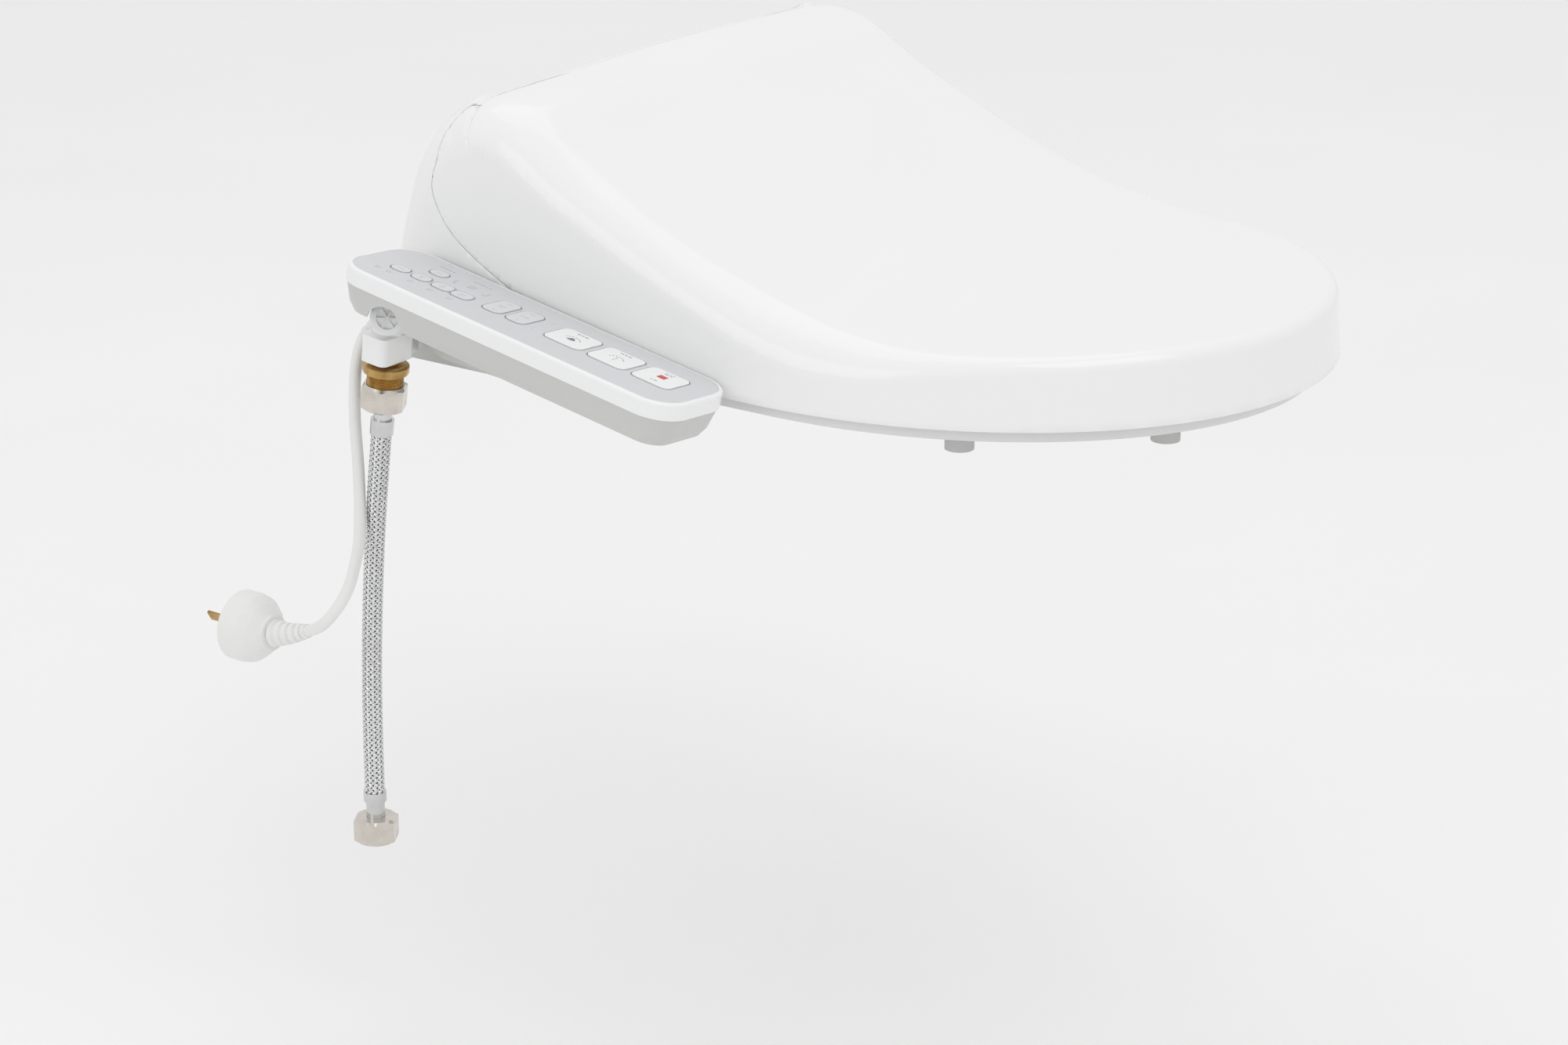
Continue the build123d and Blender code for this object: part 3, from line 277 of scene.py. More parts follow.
def loft(name, rings, material, caps=True, smooth_angle=35.0, place=None):
    """Skin over closed rings, with flat ends."""
    width = len(rings[0])
    points = [p for ring in rings for p in ring]
    faces = strips(rings, closed=True)
    if caps:
        faces.append(tuple(reversed(range(width))))
        faces.append(tuple(range((len(rings) - 1) * width, len(rings) * width)))
    if place:
        points = [place(p) for p in points]
    return make_object(name, points, faces, material, smooth_angle)


def rounded_rectangle(half_x, half_y, radius, steps=8):
    """Outline round the origin, anticlockwise, with the same number of points for any size."""
    points = []
    for corner, (sx, sy) in enumerate([(1, 1), (-1, 1), (-1, -1), (1, -1)]):
        for k in range(steps + 1):
            angle = radians(90.0 * (corner + k / steps))
            points.append((sx * (half_x - radius) + radius * cos(angle),
                           sy * (half_y - radius) + radius * sin(angle)))
    return points


def give(piece, body, slot, *replaced):
    """Put a finished piece on its body and hide the CAD parts it replaces."""
    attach(piece, body)
    if replaced:
        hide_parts(*replaced)
    return piece


def hermite(points):
    """A smooth function through (a, b) points with rising a."""
    slopes = []
    for i in range(len(points)):
        a0, b0 = points[max(i - 1, 0)]
        a1, b1 = points[min(i + 1, len(points) - 1)]
        slopes.append((b1 - b0) / (a1 - a0))

    def value(a):
        i = 0
        while i < len(points) - 2 and a > points[i + 1][0]:
            i += 1
        (a0, b0), (a1, b1) = points[i], points[i + 1]
        h = a1 - a0
        t = (a - a0) / h
        return (b0 * (1 + 2 * t) * (1 - t) ** 2 + slopes[i] * h * t * (1 - t) ** 2
                + b1 * t * t * (3 - 2 * t) + slopes[i + 1] * h * t * t * (t - 1))
    return value


LEAST_LENGTH = 1e-6           # keeps the ends of a curve from dividing by nothing


def through(points, steps):
    """A smooth curve through points in a plane, as many short steps between each two."""
    result = []
    count = len(points)
    for i in range(count - 1):
        p0, p1 = Vector(points[max(i - 1, 0)]), Vector(points[i])
        p2, p3 = Vector(points[i + 1]), Vector(points[min(i + 2, count - 1)])
        d0 = max((p1 - p0).length, LEAST_LENGTH) ** 0.5
        d1 = (p2 - p1).length ** 0.5
        d2 = max((p3 - p2).length, LEAST_LENGTH) ** 0.5
        m1 = (p2 - p1) if i == 0 else (p1 - p0) / d0 * d1 - (p2 - p0) / (d0 + d1) * d1 + (p2 - p1)
        m2 = (p2 - p1) if i == count - 2 else (p2 - p1) - (p3 - p1) / (d1 + d2) * d1 + (p3 - p2) / d2 * d1
        for k in range(steps):
            t = k / steps
            result.append(p1 * (1 + 2 * t) * (1 - t) ** 2 + m1 * t * (1 - t) ** 2
                          + p2 * t * t * (3 - 2 * t) + m2 * t * t * (t - 1))
    result.append(Vector(points[-1]))
    return result


def smoothstep(a, low, high):
    t = min(1.0, max(0.0, (a - low) / (high - low)))
    return t * t * (3 - 2 * t)


# ---------------------------------------------------------------- outer form of lid and casing
HALF_WIDTH = 190.0
NOSE_START = -203.0
NOSE_LENGTH = 222.0
LID_BOTTOM = 17.7
DRAFT = 4.0
SPLIT_Z = 19.0
CASE_FRONT = -92.0
EDGE_CENTRE = (-12.0, 118.0)
LID_EDGE_R = 35.8
LID_EDGE_ANGLE = 70.0
SEAM_LOW = [(26.7, 102.5), (20.1, 88.1), (9.4, 76.5), (-6.5, 66.2), (-29.5, 54.2), (-51.5, 44.2),
            (-80.0, 31.0), (-108.0, 19.5)]
TOP_LINE = [(-440.0, 56.0), (-340.0, 53.3), (-294.0, 53.1), (-259.0, 54.9), (-217.0, 61.3), (-170.0, 73.9),
            (-119.0, 94.0), (-81.0, 113.6), (-55.0, 129.5), (-38.0, 141.5), (-24.0, 149.2), (-12.0, 152.2),
            (-2.0, 152.6)]
BACK_LINE = [(11.0, 149.6), (25.0, 140.4), (39.0, 124.5), (47.0, 108.0), (52.0, 84.0), (55.0, 60.0),
             (55.0, 35.0), (55.0, 10.0)]
EDGE_R = hermite([(-430.0, 4.5), (-345.0, 5.0), (-300.0, 9.0), (-255.0, 18.0), (-205.0, 23.0), (-150.0, 21.0),
                  (-100.0, 20.5), (-50.0, 24.0), (0.0, 26.0), (40.0, 24.0), (60.0, 20.0)])
CORE_START = -112.0           # behind this the side wall is one flat face
CORE_STRIP = 4.0
FORM_FOOT = LID_BOTTOM
ARC_STEPS = 10
WALL_STEPS = 6
TOP_STEPS = 22
NOSE_STEPS = 96
CROWN = 2.4
CROWN_DROP = 0.4              # share of the crown that lies under the side view
CREST_CROWN = 4.5             # more bow across the top at the crest
NOSE_RISE = (-420.0, -240.0)  # the crown grows between these two places along Y
CREST_RISE = (-110.0, -20.0)  # the crest's extra bow grows between these
TILT_RISE = (-150.0, -50.0)   # a section turns from upright to square with the top between these
CROWN_END = BACK_LINE[0][0]
BACK_RISE = (40.0, 140.0)     # heights between which the back's edge radius doubles
BACK_EDGE_R = 12.0
BACK_EDGE_Y = 10.0
BACK_WALL_Y = 40.0
REAR_START = -16.0            # the side view is one curve from here to the foot of the back
REAR_STEPS = 7
STATION_STEP = 5.0
SIDE_CELL = 4.0
BACK_Y = 55.0
LID_WALL = 3.0
SIDE_TOP = 150.0
SIDE_X = -150.0               # faces beyond this are divided into cells
BORDER_STEPS = 14
SEAM_GAP = 0.55
SEAM_ARC_STEPS = 10
SEAM_LOW_STEPS = 5
SEAM_FOOT = -111.0
REGION_FRONT = -460.0         # the outlines of the two regions stand clear of the form
REGION_BACK = 80.0
REGION_REACH = 40.0

top_height = hermite(TOP_LINE)


def lean(z):
    return (z - LID_BOTTOM) * tan(radians(DRAFT))


def on_edge_arc(radius, angle):
    return (EDGE_CENTRE[0] + radius * cos(radians(angle)), EDGE_CENTRE[1] + radius * sin(radians(angle)))


def crown(x, y):
    """Height of the top over its side view: bowed in the middle, and lower at the crest's ends."""
    share = smoothstep(y, *NOSE_RISE)
    crest = CREST_CROWN * smoothstep(y, *CREST_RISE)
    bow = CROWN + crest
    return share * (bow * (1 - (x / HALF_WIDTH) ** 2) - CROWN_DROP * CROWN) - crest


def edge_radius(z, y):
    """Radius of the long edge, which on the back grows with height."""
    if y > BACK_WALL_Y or (y > BACK_EDGE_Y and z < BACK_RISE[1]):
        return BACK_EDGE_R + BACK_EDGE_R * smoothstep(z, *BACK_RISE)
    return EDGE_R(y)


def form_profile():
    """Side view of the whole outer form, from the nose's start over the top and down the back."""
    count = int((REAR_START - NOSE_START) / STATION_STEP) + 1
    stations = [NOSE_START + i * STATION_STEP for i in range(count)]
    front = [(y, top_height(y)) for y in stations if y < REAR_START]
    rear = through([(REAR_START, top_height(REAR_START))] + TOP_LINE[-2:] + BACK_LINE, REAR_STEPS)
    return [Vector(p) for p in front] + rear


def form_sections():
    """Half sections (negative x) at each station: lists of points from the wall's foot to the middle."""
    sections = []
    for i in range(NOSE_STEPS // 2, 0, -1):
        theta = radians(180.0 * i / NOSE_STEPS)
        y_edge = NOSE_START - NOSE_LENGTH * sin(theta)
        radius = EDGE_R(y_edge)

        def plan(inset, z):
            half = HALF_WIDTH - lean(z) - inset
            nose = NOSE_LENGTH - lean(z) - inset
            return -half * cos(theta), NOSE_START - nose * sin(theta)

        wall_top = top_height(y_edge) - radius
        section = []
        for j in range(WALL_STEPS):
            z = FORM_FOOT + (wall_top - CORE_STRIP - FORM_FOOT) * j / (WALL_STEPS - 1)
            section.append((*plan(0.0, z), z))
        for k in range(ARC_STEPS + 1):
            turn = radians(90.0 * k / ARC_STEPS)
            inset = radius * (1 - cos(turn))
            z = wall_top + radius * sin(turn)
            x, y = plan(inset, z)
            section.append((x, y, top_height(y) - radius * (1 - sin(turn)) + crown(x, y) * sin(turn)))
        for k in range(1, TOP_STEPS + 1):
            inset = radius + (HALF_WIDTH - lean(wall_top + radius) - radius) * k / TOP_STEPS
            x, y = plan(inset, wall_top + radius)
            section.append((x, y, top_height(y) + crown(x, y)))
        sections.append(section)
    line = form_profile()
    for i, here in enumerate(line):
        before, after = line[max(i - 1, 0)], line[min(i + 1, len(line) - 1)]
        along = (after - before).normalized()
        normal = Vector((along.y, -along.x))
        share = smoothstep(here.x, *TILT_RISE)
        inward = (Vector((0.0, -1.0)) * (1 - share) + normal * share).normalized()
        radius = edge_radius(here.y, here.x)
        section = []
        if here.x < CORE_START:
            depths = [here.y - FORM_FOOT + (radius + CORE_STRIP - here.y + FORM_FOOT) * j / (WALL_STEPS - 1)
                      for j in range(WALL_STEPS)]
        else:
            depths = [radius + CORE_STRIP]
        for depth in depths:
            place = here + inward * depth
            section.append((-(HALF_WIDTH - lean(place.y)), place.x, place.y))
        for k in range(ARC_STEPS + 1):
            turn = radians(90.0 * k / ARC_STEPS)
            place = here + inward * (radius * (1 - sin(turn)))
            x = -(HALF_WIDTH - lean(place.y) - radius * (1 - cos(turn)))
            lift = crown(x, here.x) * sin(turn) if here.x < CROWN_END else 0.0
            section.append((x, place.x, place.y + lift * max(0.0, -inward.y)))
        edge = HALF_WIDTH - lean(here.y) - radius
        for k in range(1, TOP_STEPS + 1):
            x = -edge * (1 - k / TOP_STEPS)
            lift = crown(x, min(here.x, CROWN_END))
            section.append((x, here.x, here.y + lift * max(0.0, -inward.y)))
        sections.append(section)
    return sections


drawer_low, drawer_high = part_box("deodoriser_drawer")
HOLE_ROOM = 0.4
HOLE_REAR = 50.0              # the back wall, further on, is left whole
DRAWER_HOLE = [(drawer_low[1] / MM - HOLE_ROOM, drawer_low[2] / MM - HOLE_ROOM),
               (drawer_high[1] / MM + HOLE_ROOM, drawer_high[2] / MM + HOLE_ROOM)]


def form_faces():
    """The outer skin that lid and casing share, as polygons, in the half with negative x."""
    work = bmesh.new()
    rows = [[work.verts.new(p) for p in section] for section in form_sections()]
    core_row = None
    for i in range(len(rows) - 1):
        a, b = rows[i], rows[i + 1]
        if len(b) < len(a):
            core_row = i
        trim = min(len(a), len(b))
        a, b = a[-trim:], b[-trim:]
        for j in range(trim - 1):
            work.faces.new((a[j], b[j], b[j + 1], a[j + 1]))
    core = rows[core_row][:WALL_STEPS] + [rows[i][0] for i in range(core_row + 1, len(rows))]
    work.faces.new(list(reversed(core)))
    for axis, low, high in ((1, CORE_START, BACK_Y), (2, FORM_FOOT, SIDE_TOP)):
        place, normal = [0.0, 0.0, 0.0], [0.0, 0.0, 0.0]
        normal[axis] = 1.0
        cuts = [low + k * SIDE_CELL for k in range(1, int((high - low) / SIDE_CELL))]
        for level in cuts + [DRAWER_HOLE[0][axis - 1], DRAWER_HOLE[1][axis - 1]]:
            place[axis] = level
            side = [f for f in work.faces if f.calc_center_median().x < SIDE_X]
            corners = list({v for f in side for v in f.verts})
            edges = list({e for f in side for e in f.edges})
            geometry = corners + edges + side
            bmesh.ops.bisect_plane(work, geom=geometry, dist=1e-4, plane_co=place, plane_no=normal)
    bmesh.ops.remove_doubles(work, verts=work.verts[:], dist=0.01)
    faces = [[tuple(v.co) for v in face.verts] for face in work.faces]
    work.free()
    return faces


def inside(region, y, z):
    """Whether a point lies in a closed (y, z) outline."""
    odd = False
    y0, z0 = region[-1]
    for y1, z1 in region:
        if (z1 > z) != (z0 > z) and y < (y0 - y1) * (z - z1) / (z0 - z1) + y1:
            odd = not odd
        y0, z0 = y1, z1
    return odd


def border(region, p, q):
    """The point between p, inside, and q, outside, where the outline is crossed."""
    for _ in range(BORDER_STEPS):
        middle = tuple((a + b) / 2 for a, b in zip(p, q))
        if inside(region, middle[1], middle[2]):
            p = middle
        else:
            q = middle
    return p


def in_drawer_hole(corners):
    """Whether a face of the side wall lies in the opening for the drawer."""
    middle = [sum(c[axis] for c in corners) / len(corners) for axis in (1, 2)]
    return middle[0] < HOLE_REAR and all(a < m < b for a, m, b in zip(DRAWER_HOLE[0], middle, DRAWER_HOLE[1]))


def skin_in(name, region, material):
    """The part of the outer skin whose side view lies in a region, both halves; the drawer's
    opening is left out of the half with positive x."""
    points, number, faces = [], {}, []

    def index(p):
        key = tuple(round(c, 3) + 0.0 for c in p)
        if key not in number:
            number[key] = len(points)
            points.append(p)
        return number[key]

    for face in form_faces():
        kept = []
        state = [inside(region, p[1], p[2]) for p in face]
        for k, p in enumerate(face):
            q, q_in = face[(k + 1) % len(face)], state[(k + 1) % len(face)]
            if state[k]:
                kept.append(p)
            if state[k] and not q_in:
                kept.append(border(region, p, q))
            if q_in and not state[k]:
                kept.append(border(region, q, p))
        loop = []
        for p in kept:
            if not loop or index(p) != loop[-1]:
                loop.append(index(p))
        if len(loop) > 1 and loop[0] == loop[-1]:
            loop.pop()
        if len(set(loop)) > 2:
            faces.append(tuple(loop))
            if not in_drawer_hole([points[v] for v in loop]):
                mirrored = [(-points[v][0], points[v][1], points[v][2]) for v in reversed(loop)]
                faces.append(tuple(index(p) for p in mirrored))
    skin = make_object(name, points, faces, material)
    shell = skin.modifiers.new("wall", "SOLIDIFY")
    shell.thickness = LID_WALL * MM
    shell.offset = -1.0
    baked(skin)
    bevel(skin, 0.5, 2, 55.0)
    return baked(skin)


def cad_faces(name, node, wanted, thickness, material):
    """A piece from those faces of a CAD node that a test of their corners picks out."""
    source = nodes[node].data
    points, number, faces = [], {}, []
    for face in source.polygons:
        corners = [source.vertices[v].co / MM for v in face.vertices]
        if all(wanted(c) for c in corners):
            loop = []
            for c in corners:
                key = tuple(round(a, 2) for a in c)
                if key not in number:
                    number[key] = len(points)
                    points.append(tuple(c))
                loop.append(number[key])
            faces.append(tuple(loop))
    piece = make_object(name, points, faces, material)
    if thickness:
        shell = piece.modifiers.new("wall", "SOLIDIFY")
        shell.thickness = thickness * MM
        shell.offset = -1.0
        baked(piece)
    return piece


def seam_line(gap):
    """The lid's rear edge from its top end down to the front, moved outwards by a gap."""
    arc = [on_edge_arc(LID_EDGE_R + gap, LID_EDGE_ANGLE * (1 - k / SEAM_ARC_STEPS))
           for k in range(SEAM_ARC_STEPS)]
    low = through([on_edge_arc(LID_EDGE_R, 0.0)] + SEAM_LOW, SEAM_LOW_STEPS)
    moved = []
    for i, p in enumerate(low):
        along = (low[min(i + 1, len(low) - 1)] - low[max(i - 1, 0)]).normalized()
        moved.append((p.x - along.y * gap, p.y + along.x * gap))
    return arc + moved


def lid_region():
    """Side view of what belongs to the lid."""
    seam = seam_line(0.0)
    top = on_edge_arc(LID_EDGE_R + REGION_REACH, LID_EDGE_ANGLE)
    return [top] + seam + [(SEAM_FOOT, LID_BOTTOM), (REGION_FRONT, LID_BOTTOM), (REGION_FRONT, top[1])]


def casing_region():
    """Side view of what belongs to the upper casing."""
    seam = seam_line(SEAM_GAP)
    top = on_edge_arc(LID_EDGE_R + REGION_REACH, LID_EDGE_ANGLE - 1.0)
    line = [p for p in seam if p[0] > CASE_FRONT + 1.0]
    last = seam[len(line)]
    share = (line[-1][0] - CASE_FRONT) / (line[-1][0] - last[0])
    front = line[-1][1] + (last[1] - line[-1][1]) * share
    foot = SPLIT_Z + 0.2
    corners = [(CASE_FRONT, front), (CASE_FRONT, foot), (REGION_BACK, foot), (REGION_BACK, top[1])]
    return [top] + line + corners


HINGE_ARM_X = (135.5, 154.5)
HINGE_ARM_Y = (-36.0, 0.0)
HINGE_ARM_TOP = 148.0
DECK_HALF_WIDTH = 187.0
DECK_REACH = 1.6
UNDER_LID = lid_region()


def on_hinge_arm(c):
    """Whether a corner of lid_shell belongs to one of its two hinge arms."""
    across = HINGE_ARM_X[0] < abs(c.x) < HINGE_ARM_X[1]
    return across and HINGE_ARM_Y[0] < c.y < HINGE_ARM_Y[1] and c.z < HINGE_ARM_TOP


def on_deck(c):
    """Whether a corner of upper_casing lies under the lid."""
    under = inside(UNDER_LID, c.y - DECK_REACH, c.z + DECK_REACH) or inside(UNDER_LID, c.y, c.z)
    return abs(c.x) < DECK_HALF_WIDTH and under


lid = skin_in("lid_skin", lid_region(), GLOSS_WHITE)
give(lid, "lid", "white_gloss", "lid_shell")
arms = cad_faces("lid_arms", "lid_shell", on_hinge_arm, 0.0, GLOSS_WHITE)
give(arms, "lid", "white_gloss", "lid_shell")
casing = skin_in("casing_skin", casing_region(), GLOSS_WHITE)
give(casing, "unit", "white_gloss", "upper_casing")
deck = cad_faces("casing_deck", "upper_casing", on_deck, 1.5, SATIN_WHITE)
give(deck, "unit", "white_gloss", "upper_casing")

# ---------------------------------------------------------------- hose and mains lead
HOSE_ROUTE = [(-230.0, 33.2, -32.0), (-230.5, 39.0, -78.0), (-230.0, 44.5, -130.0), (-229.6, 48.2, -184.0),
              (-230.0, 48.8, -233.0), (-230.0, 48.8, -255.5)]
HOSE_R = 6.0
CORD_ROUTE = [(-198.5, 34.0, 30.0), (-208.5, 36.5, 31.0), (-218.0, 43.0, 29.0), (-226.5, 48.0, 21.0),
              (-230.5, 49.5, 8.5), (-232.5, 50.0, -7.0), (-234.0, 49.5, -27.0), (-233.5, 48.5, -50.0),
              (-235.5, 46.5, -69.0), (-239.5, 43.5, -84.0), (-246.5, 38.5, -95.0), (-256.0, 34.0, -104.5),
              (-265.0, 30.0, -112.5), (-273.5, 30.5, -122.0), (-278.0, 37.0, -132.0), (-277.0, 47.0, -139.5),
              (-275.5, 58.0, -143.5)]
CORD_R = 3.4


def route_curve(name, route, radius, material):
    curve = bpy.data.curves.new(name, "CURVE")
    curve.dimensions = "3D"
    spline = curve.splines.new("NURBS")
    spline.points.add(len(route) - 1)
    for point, place in zip(spline.points, route):
        point.co = (place[0] * MM, place[1] * MM, place[2] * MM, 1.0)
    spline.order_u = 3
    spline.use_endpoint_u = True
    curve.resolution_u = 24
    curve.bevel_depth = radius * MM
    curve.bevel_resolution = 6
    curve.use_fill_caps = True
    curve.materials.append(material)
    made = bpy.data.objects.new(name, curve)
    bpy.context.scene.collection.objects.link(made)
    return made


def route_points(curve_object):
    """Points along the middle of a route's curve, in millimetres."""
    bare = curve_object.data.copy()
    bare.bevel_depth = 0.0
    line = bpy.data.objects.new("line", bare)
    mesh = bpy.data.meshes.new_from_object(line)
    points = [v.co / MM for v in mesh.vertices]
    bpy.data.objects.remove(line)
    bpy.data.curves.remove(bare)
    bpy.data.meshes.remove(mesh)
    return points


class Line:
    """Places and frames along a row of points by arc length."""

    def __init__(self, points):
        self.points = points
        self.at = [0.0]
        for p, q in zip(points, points[1:]):
            self.at.append(self.at[-1] + (q - p).length)
        self.length = self.at[-1]
        self.frames = []
        side = Vector((1.0, 0.0, 0.0))
        for i in range(len(points)):
            along = (points[min(i + 1, len(points) - 1)] - points[max(i - 1, 0)]).normalized()
            side = (side - along * side.dot(along)).normalized()
            self.frames.append((along, side, along.cross(side)))

    def place(self, s, angle=0.0, radius=0.0):
        i = 0
        while i < len(self.at) - 2 and s > self.at[i + 1]:
            i += 1
        t = (s - self.at[i]) / (self.at[i + 1] - self.at[i])
        centre = self.points[i].lerp(self.points[i + 1], t)
        side = self.frames[i][1].lerp(self.frames[i + 1][1], t)
        other = self.frames[i][2].lerp(self.frames[i + 1][2], t)
        return centre + side * (radius * cos(angle)) + other * (radius * sin(angle))


def sleeve_on(name, line, profile, material, around=24):
    """A turned piece that follows a line: profile of (place along it, radius)."""
    rings = []
    for s, radius in profile:
        ring = []
        for k in range(around):
            ring.append(tuple(line.place(s, 2 * pi * k / around, radius)))
        rings.append(ring)
    return loft(name, rings, material)


# braid: flat bundles of wires that cross over and under, round a core
BRAID_STARTS = 10
BRAID_PITCH = 32.0
BUNDLE_WIDTH = 2.5            # measured round the hose
BRAID_WAVE = 0.3
BUNDLE_STEP = 0.4
WIRE_THICKNESS = 0.16
BUNDLE_SECTION = ((-1.0, 0.30), (-0.55, 0.05), (0.0, 0.0), (0.55, 0.05), (1.0, 0.30))  # across, and drop


def braid_strands(name, line, radius, material):
    points, faces = [], []
    width = len(BUNDLE_SECTION)
    steps = int(line.length / BUNDLE_STEP)
    for turn in (1, -1):
        for start in range(BRAID_STARTS):
            base = len(points)
            for k in range(steps + 1):
                s = line.length * k / steps
                angle = turn * 2 * pi * s / BRAID_PITCH + 2 * pi * start / BRAID_STARTS
                wave = turn * cos(2 * pi * BRAID_STARTS * s / BRAID_PITCH)
                lift = radius + BRAID_WAVE * wave
                half = BUNDLE_WIDTH / 2 / radius
                for share, drop in BUNDLE_SECTION:
                    points.append(tuple(line.place(s, angle + share * half, lift - drop)))
            for k in range(steps):
                for j in range(width - 1):
                    a = base + k * width + j
                    faces.append((a, a + 1, a + width + 1, a + width))
    strands = make_object(name, points, faces, material, 60.0)
    thick = strands.modifiers.new("thick", "SOLIDIFY")
    thick.thickness = WIRE_THICKNESS * MM
    thick.offset = -1.0
    return baked(strands, 60.0)


# the core's near-black colour is painted shade seen between the bundles
hose = route_curve("hose_core", HOSE_ROUTE, HOSE_R - 1.0, BRAID_SHADE_CORE)
hose_line = Line(route_points(hose))
strands = braid_strands("hose_braid", hose_line, HOSE_R - 0.3, BRAID)
give(hose, "unit", "braid", "braided_hose")
give(strands, "unit", "braid", "braided_hose")

cord = route_curve("mains_lead", CORD_ROUTE, CORD_R, CORD_WHITE)
cord_line = Line(route_points(cord))
give(cord, "unit", "cord_white", "power_cord")


def relief_profile(start, length, radius_a, radius_b, ribs, groove):
    """A tapered sleeve with ribs."""
    profile = []
    per_rib = 6
    for k in range(ribs * per_rib + 1):
        s = start + length * k / (ribs * per_rib)
        share = k / (ribs * per_rib)
        radius = radius_a + (radius_b - radius_a) * share
        if k % per_rib in (4, 5):
            radius -= groove * (1 - 0.4 * share)
        profile.append((s, radius))
    return profile


relief = sleeve_on("lead_relief", cord_line, relief_profile(9.0, 24.0, 5.4, 3.9, 6, 0.7), CORD_WHITE, 28)
give(relief, "unit", "cord_white", "cord_gland")
BOOT_OVERLAP = 8              # points of the lead that the boot covers
BOOT_ROUTE = [(-276.0, 62.0, -144.8), (-276.5, 69.0, -146.8), (-277.0, 80.5, -148.5)]
boot_line = Line(cord_line.points[-BOOT_OVERLAP:] + [Vector(p) for p in BOOT_ROUTE])
boot = sleeve_on("plug_boot_ribs", boot_line, relief_profile(1.0, boot_line.length - 1.0, 4.0, 8.4, 6, 1.5),
                 CORD_WHITE, 28)
give(boot, "unit", "cord_white", "plug_boot")

# ---------------------------------------------------------------- control panel graphics
ARM_ORIGIN = Vector((-194.0, 0.0, 61.85))
ARM_PITCH, ARM_ROLL = radians(11.07), radians(5.36)
ARM_REARWARD = Vector((0.0, cos(ARM_PITCH), sin(ARM_PITCH)))
ARM_UP = Vector((sin(ARM_ROLL), -sin(ARM_PITCH) * cos(ARM_ROLL), cos(ARM_PITCH) * cos(ARM_ROLL)))
ARM_OUT = ARM_UP.cross(ARM_REARWARD)
OVERLAY_Z = -0.1
KEY_Z = 0.2
INK_THICKNESS = 0.06
KEYS = {
    "stop_key": (149.7, 175.2, 17.2, 41.2, 4.5), "rear_wash_key": (119.7, 145.3, 17.2, 41.6, 4.5),
    "front_wash_key": (89.7, 115.3, 17.2, 41.6, 4.5), "pressure_rocker": (62.0, 75.3, 17.8, 41.0, 4.5),
    "position_rocker": (45.5, 58.5, 17.4, 41.0, 4.5), "water_heat_key": (23.6, 36.4, 32.2, 42.0, 3.0),
    "seat_heat_key": (9.9, 22.6, 32.2, 42.0, 3.0), "power_save_key": (-4.8, 6.9, 33.0, 42.0, 4.0),
    "dryer_key": (-19.6, -8.0, 33.4, 42.0, 4.0), "massage_key": (-4.8, 6.4, 17.2, 26.0, 4.0),
}
FILM_KEYS = [name for name in KEYS if name not in ("stop_key", "rear_wash_key", "front_wash_key")]


def on_arm(u, v, height):
    """A point of the arm: u forwards, v outwards, height over the rim's top."""
    return ARM_ORIGIN - ARM_REARWARD * u + ARM_OUT * v + ARM_UP * height


class Ink:
    """Thin printed shapes, gathered into one piece."""

    def __init__(self, level):
        self.level = level
        self.points, self.faces = [], []

    def shape(self, outline):
        base, count = len(self.points), len(outline)
        for height in (self.level - INK_THICKNESS, self.level + INK_THICKNESS):
            self.points += [tuple(on_arm(u, v, height)) for u, v in outline]
        self.faces.append(tuple(base + count + k for k in range(count)))
        self.faces.append(tuple(base + k for k in reversed(range(count))))
        for k in range(count):
            n = (k + 1) % count
            self.faces.append((base + k, base + n, base + count + n, base + count + k))

    def ring(self, outer, inner):
        base, count = len(self.points), len(outer)
        for outline, height in ((outer, self.level - INK_THICKNESS), (outer, self.level + INK_THICKNESS),
                                (inner, self.level + INK_THICKNESS), (inner, self.level - INK_THICKNESS)):
            self.points += [tuple(on_arm(u, v, height)) for u, v in outline]
        for row in range(4):
            after = (row + 1) % 4
            for k in range(count):
                n = (k + 1) % count
                self.faces.append((base + row * count + k, base + row * count + n,
                                   base + after * count + n, base + after * count + k))

    def bar(self, u, v, long, wide):
        """A bar whose long side runs with u."""
        corner = min(long, wide) * 0.42
        self.shape([(u + x, v + y) for x, y in rounded_rectangle(long / 2, wide / 2, corner, 3)])

    def words(self, u, v, lengths, wide=0.75, gap=0.55):
        """A row of bars that stands for a caption."""
        total = sum(lengths) + gap * (len(lengths) - 1)
        place = u - total / 2
        for length in lengths:
            self.bar(place + length / 2, v, length, wide)
            place += length + gap

    def piece(self, name, body, material, node):
        made = make_object(name, self.points, self.faces, material)
        return give(made, body, slot_of[node])


def key_outline(name, grow):
    u0, u1, v0, v1, corner = KEYS[name]
    middle_u, middle_v = (u0 + u1) / 2, (v0 + v1) / 2
    return [(middle_u + x, middle_v + y)
            for x, y in rounded_rectangle((u1 - u0) / 2 + grow, (v1 - v0) / 2 + grow, corner + grow, 6)]


frames_ink = Ink(OVERLAY_Z)
for name in KEYS:
    frames_ink.ring(key_outline(name, 0.95), key_outline(name, 0.45))
frames_ink.words(-2.0, 11.2, (1.6, 2.2, 1.2, 2.6, 2.0), 0.7)
frames_ink.words(24.0, 11.6, (2.4, 1.6, 2.8, 1.8, 2.2), 0.7)
frames_ink.words(24.0, 19.4, (1.8, 2.6), 0.8)
frames_ink.words(24.0, 22.2, (2.8, 1.4), 0.8)
for u, turn in ((13.0, 1), (36.0, -1)):
    frames_ink.bar(u, 22.0, 0.4, 5.5)
    frames_ink.bar(u + turn * 1.2, 24.7, 2.4, 0.4)
for u in (-21.5, -13.5, 2.0, 16.0, 30.0):
    frames_ink.words(u, 47.6, (0.8, 0.8, 0.8), 0.8)
    frames_ink.words(u, 49.6, (1.4, 1.0), 0.5)
